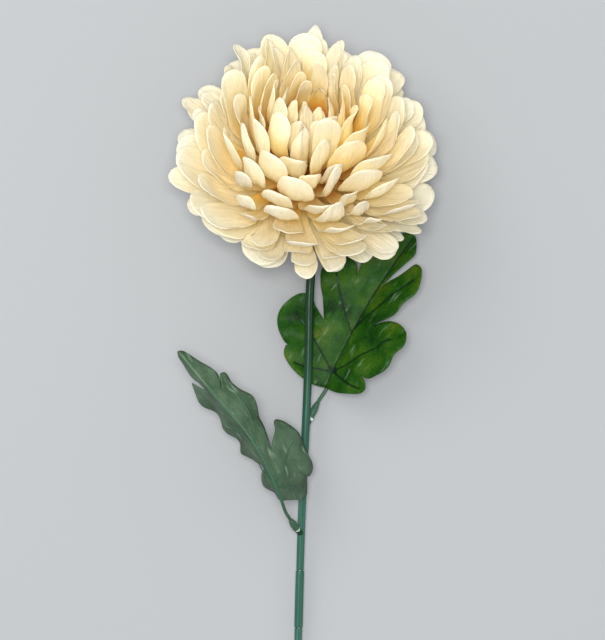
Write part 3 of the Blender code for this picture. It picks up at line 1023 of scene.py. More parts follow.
@dataclass
class Bloom:
    """The ball of petals: die-cut discs on a spindle, outermost first, with the cup under them."""

    width: float = 136 * MM
    tilt: float = math.radians(52)
    lean: float = math.radians(7)
    foot: tuple[float, float, float] = (-4.5 * MM, 0.0, 26.8 * MM)
    heart_shift: tuple[float, float, float] = (-4.0 * MM, -4.0 * MM, 0.0)
    heart_spread: float = 30 * MM
    wave_count: int = 7
    wave_size: float = 0.7 * MM
    wave_lengths: tuple[float, float] = (24 * MM, 44 * MM)
    wave_seed: int = 11
    wave_grip: Span = (12 * MM, 45 * MM)
    bunches: tuple[TurnWave, ...] = (TurnWave(0.10, 2, 1.3, 3), TurnWave(0.07, 5, 2.0, 9))
    lifts: tuple[TurnWave, ...] = (TurnWave(0.030, 3, 0.4, 0), TurnWave(0.018, 5, 2.1, 4))
    loose_at: float = 0.5
    front_trim: float = 0.08
    trim_end: float = 0.45
    spindle_bottom: float = 0.8 * MM
    spindle_top: float = 36 * MM
    spindle_base_radius: float = 5.0 * MM
    spindle_top_radius: float = 2.4 * MM
    socket_depth: float = 8 * MM
    cup_depth: float = 8 * MM
    cup_radius: float = 9 * MM
    cup_foot_radius: float = 3.7 * MM
    cup_chamfer: float = 0.3 * MM
    cup_rim: float = 1.0 * MM
    cup_waist: tuple[Span, ...] = ((0.8, 0.35), (0.5, 0.75))
    cup_ribs: int = 12
    cup_rib_depth: float = 0.035
    core_height_share: float = 0.25
    petal_counts: tuple[int, ...] = (17, 15, 16, 14, 16, 15, 14, 14, 13, 13, 12, 11, 9, 8, 6)
    petal_width: float = 16.5 * MM
    solid_thickness: float = 0.7 * MM
    fabric_thickness: float = 0.18 * MM
    first_layer: float = 1.2 * MM
    last_layer: float = 33 * MM
    hub_rim: float = 3.2 * MM
    stem_turn: float = 0.27
    stem_discs: int = 5
    root_reach: float = 0.42
    tip_reach: float = 0.36
    layer_freedom: float = 0.40
    side_freedom: float = 0.16
    side_freedom_lost: float = 0.6
    clearance: float = 0.03
    form: PetalForm = PetalForm()
    seed: int = 8
    fine_seed: int = 5
    rows: int = 26
    columns: int = 16
    tip_angle: Table = Table((0.00, 0.20, 0.40, 0.60, 0.80, 1.00), (120, 98, 74, 50, 28, 6))
    tip_place: Table = Table((0.00, 0.20, 0.40, 0.60, 0.80, 1.00), (1.00, 1.02, 0.94, 0.85, 0.74, 0.50))
    rise: Table = Table((0.00, 0.25, 0.50, 0.75, 1.00), (4, 9, 17, 34, 60))
    stand: Table = Table((0.00, 0.12, 0.30, 0.50, 0.75, 1.00), (-14, 4, 34, 62, 86, 108))
    front_stand: Table = Table((0.00, 0.30, 0.60, 1.00), (8, 30, 32, -14))

    def matrix(self) -> Matrix:
        """Return the turn from the bloom's own frame, with its axis up and its front at +X."""
        axis = Vector((
            math.sin(self.lean),
            math.cos(self.lean) * math.cos(self.tilt),
            math.cos(self.lean) * math.sin(self.tilt),
        ))
        side = Vector((0, 0, 1)).cross(axis).normalized()
        front = side.cross(axis)
        turn = Matrix((-front, -side, axis)).transposed()
        return Matrix.Translation(Vector(self.foot)) @ turn.to_4x4()

    def layer_height(self, inward: np.ndarray | float) -> np.ndarray | float:
        """Return the height of a disc on the spindle.

        Args:
            inward: Which disc, from 0 outside to 1 inside.

        Returns:
            Its height.
        """
        return self.first_layer + (self.last_layer - self.first_layer) * inward

    def hub_radius(self, inward: np.ndarray | float) -> np.ndarray | float:
        """Return the radius of a disc's hole.

        Args:
            inward: Which disc, from 0 outside to 1 inside.

        Returns:
            Its radius.
        """
        share = (self.layer_height(inward) - self.spindle_bottom) / (self.spindle_top - self.spindle_bottom)
        radius = self.spindle_base_radius + (self.spindle_top_radius - self.spindle_base_radius) * share
        return radius + 2 * GAP

    def petal_line(
        self, inward: np.ndarray, along: np.ndarray, turn: np.ndarray | float
    ) -> tuple[np.ndarray, np.ndarray]:
        """Say how far out and how high a petal is.

        Args:
            inward: Which disc, from 0 outside to 1 inside.
            along: How far from root to tip.
            turn: The angle round the axis, 0 at the front.

        Returns:
            The distance from the axis, and the height.
        """
        root_out = self.hub_radius(inward) + self.hub_rim
        root_up = self.layer_height(inward)
        angle = np.radians(self.tip_angle.at(inward))
        reach = self.tip_place.at(inward) * self.width / 2
        tip_out = reach * np.sin(angle)
        tip_up = self.core_height_share * self.width + reach * np.cos(angle)
        rise = np.radians(self.rise.at(inward))
        stand = np.radians(self.stand.at(inward) + self.front_stand.at(inward) * np.cos(turn))
        chord = np.hypot(tip_out - root_out, tip_up - root_up)
        root, tip = self.root_reach * chord, self.tip_reach * chord
        out_knots = (root_out, root_out + root * np.cos(rise), tip_out - tip * np.cos(stand), tip_out)
        up_knots = (root_up, root_up + root * np.sin(rise), tip_up - tip * np.sin(stand), tip_up)
        return bezier(along, *out_knots), bezier(along, *up_knots)

    def loosened(
        self, inward: np.ndarray, along: np.ndarray, turn: np.ndarray
    ) -> tuple[np.ndarray, np.ndarray]:
        """Bunch and part the petals by smooth waves round the bloom, stronger towards the tips.

        Args:
            inward: Which disc, from 0 outside to 1 inside.
            along: How far from root to tip.
            turn: The angle round the axis.

        Returns:
            The moved inward place and angle.
        """
        grip = np.clip(along / self.loose_at, 0, 1) ** 2
        bunch = sum(wave.at(turn, inward) for wave in self.bunches)
        lift = sum(wave.at(turn, inward) for wave in self.lifts)
        return inward + grip * 4 * inward * (1 - inward) * lift, turn + grip * bunch

    def draw_petal(
        self,
        draw: np.random.Generator,
        fine: np.random.Generator,
        first_turn: float,
        step: float,
        inward: float,
    ) -> Petal:
        """Draw one petal's numbers.

        Args:
            draw: The solid's generator.
            fine: The generator of the finer numbers.
            first_turn: Where its share of the disc starts.
            step: How wide its share is.
            inward: Which disc, from 0 outside to 1 inside.

        Returns:
            The petal.
        """
        middle = first_turn + step / 2
        trim = self.front_trim * max(math.cos(middle), 0) ** 2 * max(1 - inward / self.trim_end, 0)
        return Petal(
            middle=middle,
            step=step,
            drift=draw.uniform(-1, 1),
            lift=draw.uniform(-1, 1),
            curl=draw.uniform(-1, 1),
            twist=draw.uniform(-1, 1),
            length=draw.uniform(*self.form.length_shares),
            breadth=draw.uniform(*self.form.breadth_shares),
            trim=trim,
            folds=fine.uniform(*self.form.folds),
            fold_phase=fine.uniform(0, 2 * math.pi),
            flutter=fine.uniform(*self.form.flutters_mm),
            flutter_phase=fine.uniform(0, 2 * math.pi),
            tip_curl=fine.uniform(*self.form.tip_curls_mm),
            point=fine.uniform(*self.form.tip_points),
            tone=fine.uniform(0, 1),
        )

    def petal_points(
        self, petal: Petal, inward: float, along: np.ndarray, across: np.ndarray
    ) -> np.ndarray:
        """Place points of a petal in the bloom's frame.

        Args:
            petal: The petal.
            inward: Which disc, from 0 outside to 1 inside.
            along: How far from root to tip.
            across: From -1 to 1 over its width.

        Returns:
            The points.
        """
        form = self.form
        reach = along * petal.length * (1 - petal.trim)
        out, _ = self.petal_line(np.full_like(reach, inward), reach, petal.middle)
        loose = self.side_freedom * (1 - self.side_freedom_lost * inward)
        room = (0.5 - self.clearance - loose * along**2) * petal.step
        swell = np.sin(np.clip(along / form.widest_at, 0, 1) * math.pi / 2) ** 2
        swell = form.root_breadth + (1 - form.root_breadth) * swell
        half = np.minimum(petal.breadth * self.petal_width / 2 * swell / out, room)
        half = petal.step / 2 + (half - petal.step / 2) * smooth_step(along, 0.0, form.parted_at)
        turn = petal.middle + petal.drift * loose * petal.step * along**2 + across * half
        bend = form.lift * petal.lift * along + form.twist * petal.twist * across
        bend = bend + form.curl * petal.curl * (along**2 - along / 2)
        bend = bend + form.cupping * (across**2 - form.cup_middle)
        free = self.layer_freedom * np.minimum(along / form.free_at, 1) ** 2
        layer = inward + free / len(self.petal_counts) * np.tanh(form.bend_gain * bend)
        layer, turn = self.loosened(layer, reach, turn)
        out, up = self.petal_line(layer, reach, turn)
        height = np.clip((up - self.spindle_top / 2) / (self.width / 2), 0, 1)
        near = height * np.exp(-((out / self.heart_spread) ** 2))
        points = np.stack([out * np.cos(turn), out * np.sin(turn), up], axis=-1)
        return self.waved(points + near[..., None] * np.array(self.heart_shift))

    def waved(self, points: np.ndarray) -> np.ndarray:
        """Lean the petals to and fro by smooth waves through the ball, none near its foot.

        Args:
            points: The points in the bloom's frame.

        Returns:
            The moved points.
        """
        draw = np.random.default_rng(self.wave_seed)
        grip = smooth_step(np.linalg.norm(points, axis=-1), *self.wave_grip)
        shift = np.zeros_like(points)
        for _ in range(self.wave_count):
            heading = unit(draw.normal(size=3))
            sway = unit(draw.normal(size=3))
            length = draw.uniform(*self.wave_lengths)
            phase = draw.uniform(0, 2 * math.pi)
            wave = np.sin(2 * math.pi * (points @ heading) / length + phase)
            shift += wave[..., None] * sway * self.wave_size
        return points + grip[..., None] * shift

    @property
    def columns_across(self) -> np.ndarray:
        """Return the places from -1 to 1 over a petal's width, closer together at its edges."""
        return np.sin(np.linspace(-math.pi / 2, math.pi / 2, self.columns + 1))

    def petal_grid(self, petal: Petal, inward: float) -> tuple[np.ndarray, np.ndarray, np.ndarray]:
        """Make a petal's sheet of points, with its round tip, folds and fluttering edges.

        Args:
            petal: The petal.
            inward: Which disc, from 0 outside to 1 inside.

        Returns:
            The points in rows from the root, and how far along and across each is.
        """
        form = self.form
        across = self.columns_across
        end = np.maximum(1 - np.abs(across) ** 2, 0) ** (1 / petal.point)
        end = form.shoulder + (1 - form.shoulder) * end
        share = np.linspace(0, 1, self.rows + 1)[:, None]
        along = share * end
        across = np.broadcast_to(across, along.shape)
        points = self.petal_points(petal, inward, along, across)
        normal = unit(np.cross(np.gradient(points, axis=0), np.gradient(points, axis=1)))
        grip = smooth_step(along, *form.relief_along)
        fold = form.fold_mm * np.cos(petal.folds * math.pi * across + petal.fold_phase)
        fold = fold * np.sin(math.pi * along * form.fold_reach)
        flutes = form.flute_mm * np.cos(form.flutes * math.pi * across + petal.flutter_phase)
        flutes = flutes * smooth_step(along, *form.flutes_along)
        edge = np.sin(form.flutter_rate * along + petal.flutter_phase + form.flutter_slant * across)
        edge = petal.flutter * np.abs(across) ** 3 * edge
        tip = petal.tip_curl * smooth_step(along, *form.tip_curl_along) ** form.tip_curl_power
        tip = tip * (form.tip_curl_middle - across**2)
        return points + normal * (grip * (fold + flutes + edge + tip) * MM)[..., None], along, across

    def layer(
        self, index: int, draw: np.random.Generator, fine: np.random.Generator, shift: Vector
    ) -> Shape:
        """Make one disc with its petals, pressed flat where the bloom lies on the table.

        Args:
            index: Which disc, outermost first.
            draw: The solid's generator.
            fine: The generator of the finer numbers.
            shift: From the flower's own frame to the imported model's.

        Returns:
            The disc's shape.
        """
        count = self.petal_counts[index]
        inward = (index + 0.5) / len(self.petal_counts)
        step = 2 * math.pi / count
        start = draw.uniform(0, step)
        if index < self.stem_discs:
            start = self.stem_turn
        height = self.layer_height(inward)
        across = self.columns_across[:-1]
        turn = (start + step * (np.arange(count)[:, None] + (across + 1) / 2)).ravel()
        circle = np.stack([np.cos(turn), np.sin(turn), np.zeros_like(turn)], axis=-1)
        shape = Shape()
        rings = []
        hole = self.hub_radius(inward)
        for radius in (hole / math.cos(step / 2), hole + self.hub_rim):
            ring = circle * radius + (0, 0, height)
            rings.append(self._place(shape, ring, index, shift, 0.0, 0.0, 0.0, 0.5, 0.0, 0.0))
        hub = np.array(rings)
        shape.add_grid(np.concatenate([hub, hub[:, :1]], axis=1))
        for i in range(count):
            petal = self.draw_petal(draw, fine, start + i * step, step, inward)
            points, along, over = self.petal_grid(petal, inward)
            warmth = self._warmth(inward, petal.tone)
            reach = np.linalg.norm(points - points[:1], axis=-1) / MM
            wide = over * self.petal_width / 2 / MM
            held = (along[1:], over[1:], petal.tone, warmth, wide[1:], reach[1:])
            rows = self._place(shape, points[1:], index, shift, *held)
            rows = rows.reshape(self.rows, self.columns + 1)
            root = np.take(hub[1], np.arange(i * self.columns, (i + 1) * self.columns + 1), mode="wrap")
            shape.add_grid(np.vstack([root, rows]))
        return shape

    def _warmth(self, inward: float, tone: float) -> float:
        """Say how far up a petal its warm dye reaches.

        Args:
            inward: Which disc, from 0 outside to 1 inside.
            tone: The petal's own number from 0 to 1.

        Returns:
            The share of its length by which the dye moves up.
        """
        own = self.form.warmth_spread * (tone - 0.5)
        return self.form.warmth_outside + self.form.warmth_inward * inward + own

    def _place(
        self,
        shape: Shape,
        points: np.ndarray,
        index: int,
        shift: Vector,
        along: np.ndarray | float,
        across: np.ndarray | float,
        tone: float,
        warmth: float,
        over: np.ndarray | float,
        reach: np.ndarray | float,
    ) -> np.ndarray:
        """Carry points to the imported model's frame, keep them off the table, and add them.

        Args:
            shape: What they are added to.
            points: The points in the bloom's frame.
            index: Which disc they belong to.
            shift: From the flower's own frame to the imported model's.
            along: How far from root to tip each is.
            across: From -1 to 1 over the petal's width.
            tone: The petal's own number.
            warmth: How far up its warm dye reaches.
            over: The distance across, in mm.
            reach: The distance from the root, in mm.

        Returns:
            Their indices.
        """
        matrix = np.array(self.matrix())
        placed = points.reshape(-1, 3) @ matrix[:3, :3].T + matrix[:3, 3] + np.array(shift)
        lowest = self.solid_thickness / 2 + index * (self.solid_thickness + 1.5 * GAP)
        placed[:, 2] = np.maximum(placed[:, 2], lowest)
        return shape.add_points(
            placed, along=along, across=across, tone=tone, warmth=warmth, over_mm=over, up_mm=reach
        )

    def cup(self, shift: Vector, sides: int = 72) -> Shape:
        """Make the green cup under the petals, with its moulded ribs.

        Args:
            shift: From the flower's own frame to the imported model's.
            sides: Points round it.

        Returns:
            The cup's shape.
        """
        hole = STEM_TOP_RADIUS + HOLE_CLEARANCE
        top = self.spindle_bottom - GAP
        knots = [
            (hole, top),
            (self.cup_radius - self.cup_chamfer, top),
            (self.cup_radius, top - self.cup_chamfer),
            (self.cup_radius, top - self.cup_rim),
            *((wide * self.cup_radius, top - deep * self.cup_depth) for wide, deep in self.cup_waist),
            (self.cup_foot_radius, top - self.cup_depth),
            (hole, top - self.cup_depth),
        ]
        turn = np.linspace(0, 2 * math.pi, sides, endpoint=False)
        matrix = np.array(Matrix.Translation(shift) @ self.matrix())
        shape = Shape()
        rows = []
        for radius, height in knots:
            depth = self.cup_rib_depth if radius > hole else 0.0
            out = radius * (1 - depth * (0.5 - 0.5 * np.cos(self.cup_ribs * turn)) ** 2)
            ring = np.stack([out * np.cos(turn), out * np.sin(turn), np.full(sides, height)], axis=-1)
            ring = ring @ matrix[:3, :3].T + matrix[:3, 3]
            rows.append(shape.add_points(ring, around=around_ring(turn), down_mm=(top - height) / MM))
        index = np.array(rows + rows[:1])
        shape.add_grid(np.concatenate([index, index[:, :1]], axis=1))
        return shape

    def build(self, shift: Vector) -> None:
        """Make every disc and the cup, and finish the carried-over spindle.

        Args:
            shift: From the flower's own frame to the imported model's.
        """
        fabric = PETALS.make()
        draw = np.random.default_rng(self.seed)
        fine = np.random.default_rng(self.fine_seed)
        for index in range(len(self.petal_counts)):
            node = f"petal_layer_{index + 1:02d}"
            obj = self.layer(index, draw, fine, shift).object(f"{node}_fabric", [fabric])
            add_sheet_thickness(obj, self.fabric_thickness)
            hand_over(obj, "petal_fabric", node)
        cup = self.cup(shift).object("calyx_cup", [STEM_PLASTIC.make()])
        hand_over(cup, "stem_plastic", "calyx")
        dress("receptacle", CORE_PLASTIC.make())


def hand_over(obj: bpy.types.Object, slot: str, *nodes: str) -> None:
    """Let a piece ride on the flower and stand for its solids.

    Args:
        obj: The piece.
        slot: The name of a material slot. Not used.
        *nodes: The solids that it replaces.
    """
    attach(obj, BODY)
    if nodes:
        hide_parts(*nodes)
    LOG.info("%s stands for %s", obj.name, ", ".join(nodes) or "nothing else")


def dress(node: str, material: bpy.types.Material) -> None:
    """Give a carried-over solid its finish.

    Args:
        node: The solid's name.
        material: Its finish.
    """
    obj = bpy.data.objects[node]
    for material_slot in obj.material_slots:
        material_slot.material = material
    if not obj.material_slots:
        obj.data.materials.append(material)
    LOG.info("%s keeps its solid", node)


# The stem


@dataclass
class Stem:
    """The moulded stem in three lengths over a wire, with the leaves' pegs."""

    bloom: Bloom
    top_radius: float = STEM_TOP_RADIUS
    radius: float = 1.95 * MM
    peg_radius: float = 1.0 * MM
    neck_length: float = 9 * MM
    bend_mm: tuple[float, float, float] = (0.0, -24, 17.5)
    knee_mm: tuple[float, float, float] = (0.2, -60, 16.2)
    leaf_node_mm: tuple[float, float, float] = (-4.0, -175, 9.9)
    end_mm: tuple[float, float, float] = (-7.6, -315, 2.0)
    collar_top_y: float = -193 * MM
    collar_length: float = 29.5 * MM
    collar_share: float = 1.12
    step: float = 1.5 * MM
    sides: int = 48
    grooves: float = 0.09
    end_softness: float = 0.25 * MM
    peg_profile: Profile = ((0, 0.5, 0.62, 1), (1.75, 1.5, 1.0, 1.0))
    peg_step: float = 0.8 * MM
    peg_sides: int = 24

    def line(self) -> tuple[np.ndarray, np.ndarray]:
        """Return the distances and places of the knots of the stem's centre line."""
        matrix = self.bloom.matrix()
        knots = [
            matrix @ Vector((0, 0, self.bloom.spindle_bottom + self.bloom.socket_depth - GAP)),
            matrix @ Vector((0, 0, 0)),
            matrix @ Vector((0, 0, -self.neck_length)),
            Vector(self.bend_mm) * MM,
            Vector(self.knee_mm) * MM,
            Vector(self.leaf_node_mm) * MM,
            Vector(self.end_mm) * MM,
        ]
        table = np.array(knots)
        return distances_along(table), table

    def at(self, distances: np.ndarray) -> np.ndarray:
        """Place points on the centre line.

        Args:
            distances: How far each is from the top end.

        Returns:
            The points.
        """
        lengths, table = self.line()
        return line_at(lengths, table, distances)

    def distance_at(self, y: float) -> float:
        """Return how far down the stem the given Y lies.

        Args:
            y: The place along Y in the flower's own frame.

        Returns:
            The distance from the top end.
        """
        lengths, _ = self.line()
        tries = np.linspace(lengths[2], lengths[-1], 2000)
        return float(tries[np.argmin(np.abs(self.at(tries)[:, 1] - y))])

    @property
    def collar(self) -> tuple[float, float]:
        """Return the distances of the collar's two ends."""
        top = self.distance_at(self.collar_top_y)
        return top + GAP, top + self.collar_length

    def length_of(self, first: float, last: float, radii: tuple[float, float], shift: Vector) -> Shape:
        """Make one moulded length with softened ends.

        Args:
            first: The distance of its upper end.
            last: The distance of its lower end.
            radii: Its radius at each end.
            shift: From the flower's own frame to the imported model's.

        Returns:
            Its shape.
        """
        distances = np.linspace(first, last, int(round((last - first) / self.step)) + 1)
        soft = self.end_softness
        distances = np.concatenate([[first], [first + soft], distances[1:-1], [last - soft], [last]])
        widths = np.linspace(radii[0], radii[1], len(distances))
        widths[0] -= soft
        widths[-1] -= soft
        shape = Shape()
        line = self.at(distances) + np.array(shift)
        sweep(shape, line, widths, self.sides, grooves=self.grooves, start_mm=first / MM)
        return shape

    def build(self, shift: Vector, pegs: Sequence[tuple[np.ndarray, np.ndarray, np.ndarray]]) -> None:
        """Make the three lengths, and finish the carried-over wire.

        Args:
            shift: From the flower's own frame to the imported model's.
            pegs: Each peg's root, shoulder and end.
        """
        lengths, _ = self.line()
        top, bottom = self.collar
        plastic = STEM_PLASTIC.make()
        upper = self.length_of(0, top - GAP, (self.top_radius, self.radius), shift)
        for root, shoulder, end in pegs:
            points = smooth_line([root, shoulder, (shoulder + end) / 2, end], self.peg_step)
            radii = profile_along(points, self.peg_profile) * self.peg_radius
            sweep(upper, points + np.array(shift), radii, self.peg_sides)
        hand_over(upper.object("stem_upper_moulded", [plastic]), "stem_plastic", "stem_upper")
        wide = self.radius * self.collar_share
        collar = self.length_of(top, bottom, (wide, wide), shift)
        hand_over(collar.object("stem_collar_moulded", [plastic]), "stem_plastic", "stem_collar")
        lower = self.length_of(bottom + GAP, lengths[-1], (self.radius, self.radius), shift)
        hand_over(lower.object("stem_lower_moulded", [plastic]), "stem_plastic", "stem_lower")
        dress("stem_wire", WIRE_STEEL.make())


# The leaves

FlatLine = tuple[tuple[float, float], ...]


@dataclass
class Leaf:
    """A lobed fabric blade bent round its midrib, on a moulded rib whose sleeve fits a peg of the stem.

    The halves hold the flat outline in mm, along the midrib and out from it, from the tip round to the foot:
    the left half as seen going up the midrib in the photograph, then the right half.
    """

    name: str
    halves: tuple[FlatLine, FlatLine]
    side_ribs: tuple[tuple[FlatLine, ...], tuple[FlatLine, ...]]
    midrib_at: tuple[float, ...]
    midrib: tuple[tuple[float, float, float], ...]
    sleeve: tuple[tuple[float, float, float], tuple[float, float, float]]
    slopes: tuple[tuple[float, float], tuple[float, float]]
    ripple: float
    seed: int
    foot_mm: float = -9.0
    tip_mm: float = 81.0
    foot_lobes_from: float = 8.0
    rib_end: float = 60.0
    ripple_length_mm: float = 21.0
    fabric_thickness: float = 0.34 * MM
    rib_radius: float = 0.9 * MM
    rib_tip_radius: float = 0.35 * MM
    side_rib_radius: float = 0.45 * MM
    sleeve_radius: float = 1.9 * MM
    sleeve_length: float = 9 * MM
    bore_share: float = 0.62
    grid_mm: float = 1.5
    edge_step_mm: float = 1.1
    notch_degrees: float = -70
    ripple_slant: float = 0.35
    ripple_full_mm: float = 20
    ridge_mm: float = 0.8
    vein_width_mm: float = 0.85
    vein_depth_mm: float = 0.32
    puckers: int = 14
    pucker_lengths_mm: Span = (7, 22)
    pucker_shares: Span = (0.4, 1.0)
    table_gap: float = 0.5 * MM
    rib_profile: Profile = ((0, 0.25, 1), (0.9 * MM, 0.9 * MM, 0.35 * MM))
    rib_tip_shares: tuple[float, ...] = (0.9, 0.7, 0.35)
    rib_seat: float = 0.45 * MM
    rib_step: float = 1.2 * MM
    side_rib_profile: Profile = ((0, 0.8, 1), (1.0, 0.8, 0.35))
    side_rib_gap: float = 0.3 * MM
    sleeve_profile: Profile = ((0, 0.08, 0.65, 1), (0.85, 1.0, 0.95, 0.56))
    sleeve_step: float = 0.7 * MM
    peg_root_back: float = 6 * MM
    peg_shoulder_back: float = 1 * MM
    glue_blobs_mm: tuple[Span, ...] = ((-0.6, 1.25), (0.8, 0.8), (2.0, 0.55))
    glue_width: float = 1.35

    def middle(self, along: np.ndarray | float) -> np.ndarray:
        """Place points on the midrib.

        Args:
            along: Their distances from the blade's foot, in mm.

        Returns:
            The points.
        """
        return line_at(self.midrib_at, np.array(self.midrib) * MM, along)

    def heading(self, along: np.ndarray | float) -> np.ndarray:
        """Return the midrib's direction.

        Args:
            along: Where, in mm from the blade's foot.

        Returns:
            The unit vectors.
        """
        return unit(self.middle(np.asarray(along, float) + 1) - self.middle(np.asarray(along, float) - 1))

    def side(self, along: np.ndarray | float, half: np.ndarray | float) -> np.ndarray:
        """Return the way a half of the blade leaves the midrib.

        Args:
            along: Where, in mm from the blade's foot.
            half: 1 on the left going up, or -1.

        Returns:
            The unit vectors.
        """
        along = np.asarray(along, float)
        half = np.broadcast_to(np.asarray(half, float), along.shape)
        heading = self.heading(np.maximum(along, self.foot_lobes_from))
        level = unit(np.stack([-heading[..., 1], heading[..., 0], np.zeros_like(heading[..., 0])], axis=-1))
        upward = unit(np.cross(heading, level))
        share = np.clip(along / self.tip_mm, 0, 1)
        slopes = [foot + (tip - foot) * share for foot, tip in self.slopes]
        slope = np.radians(np.where(half > 0, slopes[0], slopes[1]))
        return (half * np.cos(slope))[..., None] * level + np.sin(slope)[..., None] * upward

    def outer_way(self, along: np.ndarray | float) -> np.ndarray:
        """Return the way the underside faces at the midrib.

        Args:
            along: Where, in mm from the blade's foot.

        Returns:
            The unit vectors.
        """
        return -unit(self.side(along, 1) + self.side(along, -1))

    def place(self, along: np.ndarray, across: np.ndarray, lift: np.ndarray | float = 0.0) -> np.ndarray:
        """Bend the flat blade to its shape.

        Args:
            along: Distances along the midrib, in mm.
            across: Distances out from it, in mm, positive on the left half.
            lift: How far the points stand off the middle of the sheet on its underside.

        Returns:
            The points.
        """
        along = np.asarray(along, float)
        across = np.asarray(across, float)
        half = np.where(across >= 0, 1.0, -1.0)
        side = self.side(along, half)
        outer = self.outer_way(along)
        under = np.cross(self.heading(along), side) * half[..., None]
        under = np.where((under * outer).sum(-1, keepdims=True) > 0, under, -under)
        under = unit(under + (outer - under) * np.exp(-((np.abs(across) / self.ridge_mm) ** 2))[..., None])
        wave = np.sin(2 * math.pi * (along + self.ripple_slant * np.abs(across)) / self.ripple_length_mm)
        fade = np.minimum(np.abs(across) / self.ripple_full_mm, 1) ** 2
        point = self.middle(along) + side * (np.abs(across) * MM)[..., None]
        return point + under * (self.ripple * wave * fade + lift)[..., None]

    def corners(self) -> np.ndarray:
        """Return the corners of the whole flat outline, in mm."""
        left = [np.array(point, float) for point in self.halves[0]]
        right = [np.array(point, float) * (1, -1) for point in reversed(self.halves[1][1:])]
        return np.array(left + [np.array((self.foot_mm, 0.0))] + right)

    def edge(self) -> np.ndarray:
        """Round the lobes of the outline and leave its notches sharp.

        Returns:
            The edge's points, in mm.
        """
        corners = self.corners()
        before = corners - np.roll(corners, 1, axis=0)
        after = np.roll(corners, -1, axis=0) - corners
        turning = before[:, 0] * after[:, 1] - before[:, 1] * after[:, 0]
        forward = (before * after).sum(axis=1)
        bend = np.degrees(np.arctan2(turning, forward))
        way = np.sign(bend.sum())
        sharp = (bend * way < self.notch_degrees) | (np.abs(corners - (self.foot_mm, 0)).sum(axis=1) < 0.01)
        starts = np.nonzero(sharp)[0]
        line = []
        for first, last in zip(starts, np.roll(starts, -1)):
            span = (last - first) % len(corners) or len(corners)
            knots = corners[(first + np.arange(span + 1)) % len(corners)]
            knots = np.column_stack([knots, np.zeros(len(knots))])
            line.append(smooth_line(knots, self.edge_step_mm)[:-1, :2])
        return np.concatenate(line)

    def ribs(self) -> list[FlatLine]:
        """Return the side ribs of both halves, as places in the flat blade."""
        left, right = self.side_ribs
        return list(left) + [tuple((u, -v) for u, v in rib) for rib in right]

    def vein_lines(self) -> list[np.ndarray]:
        """Return the pressed veins, the midrib first, as smooth lines in the flat blade."""
        midrib = ((self.foot_mm, 0.0), (30.0, 0.0), (self.tip_mm - 2, 0.0))
        lines = []
        for vein in (midrib, *self.ribs()):
            knots = np.column_stack([np.array(vein, float), np.zeros(len(vein))])
            lines.append(smooth_line(knots, self.grid_mm)[:, :2])
        return lines

    @staticmethod
    def distance_to(spots: np.ndarray, line: np.ndarray) -> np.ndarray:
        """Measure how far spots are from a line of points.

        Args:
            spots: Places in the flat blade.
            line: The line's points.

        Returns:
            The shortest distances.
        """
        start, way = line[:-1], np.diff(line, axis=0)
        length = np.maximum((way**2).sum(axis=1), 1e-9)
        to = spots[:, None] - start[None]
        share = np.clip((to * way).sum(axis=-1) / length, 0, 1)
        return np.sqrt(((to - share[..., None] * way) ** 2).sum(axis=-1)).min(axis=1)

    def flat_mesh(self) -> tuple[np.ndarray, list[list[int]]]:
        """Cut the flat blade into small triangles.

        Returns:
            The spots in mm, and the triangles.
        """
        edge = self.edge()
        veins = self.vein_lines()
        closed = np.vstack([edge, edge[:1]])
        low, high = edge.min(axis=0), edge.max(axis=0)
        rows, columns = (np.arange(low[i], high[i], self.grid_mm) for i in range(2))
        u, v = np.meshgrid(rows, columns, indexing="ij")
        v = v + 0.5 * self.grid_mm * (np.arange(u.shape[0]) % 2)[:, None]
        spots = np.stack([u.ravel(), v.ravel()], axis=-1)
        clear = self.distance_to(spots, closed) > 0.55 * self.grid_mm
        for vein in veins:
            clear &= self.distance_to(spots, vein) > 0.5 * self.grid_mm
        spots = spots[clear]
        flat = [Vector(spot) for spot in edge]
        joins = [(i, (i + 1) % len(edge)) for i in range(len(edge))]
        for vein in veins:
            inside = vein[self.distance_to(vein, closed) > 0.4]
            joins += [(len(flat) + i, len(flat) + i + 1) for i in range(len(inside) - 1)]
            flat += [Vector(spot) for spot in inside]
        flat += [Vector(spot) for spot in spots]
        result = delaunay_2d_cdt(flat, joins, [list(range(len(edge)))], 1, 0.01)
        triangles = result[2]
        used = sorted({i for triangle in triangles for i in triangle})
        number = {old: new for new, old in enumerate(used)}
        places = np.array([tuple(result[0][i]) for i in used])
        return places, [[number[i] for i in triangle] for triangle in triangles]

    def relief(self, spots: np.ndarray) -> tuple[np.ndarray, np.ndarray]:
        """Press the veins in, and pucker and flutter the fabric between them.

        Args:
            spots: Places in the flat blade, in mm.

        Returns:
            How far each moves towards the underside, and how near a vein it is from 0 to 1.
        """
        closed = np.vstack([self.edge(), self.edge()[:1]])
        from_edge = self.distance_to(spots, closed)
        near = np.zeros(len(spots))
        for vein in self.vein_lines():
            near = np.maximum(near, np.exp(-((self.distance_to(spots, vein) / self.vein_width_mm) ** 2)))
        draw = np.random.default_rng(self.seed)
        puckers = np.zeros(len(spots))
        for _ in range(self.puckers):
            way = draw.uniform(-math.pi, math.pi)
            length = draw.uniform(*self.pucker_lengths_mm)
            phase = draw.uniform(0, 2 * math.pi)
            reach = spots[:, 0] * math.cos(way) + spots[:, 1] * math.sin(way)
            size = draw.uniform(*self.pucker_shares)
            puckers += size * np.sin(2 * math.pi * reach / length + phase)
        body = smooth_step(from_edge, 0.0, 6.0) * 0.10 + smooth_step(from_edge, 8.0, 0.0) * 0.16
        flat = smooth_step(np.abs(spots[:, 1]), 0.5, 6.0)
        return (self.vein_depth_mm * near + body * puckers * flat) * MM, near

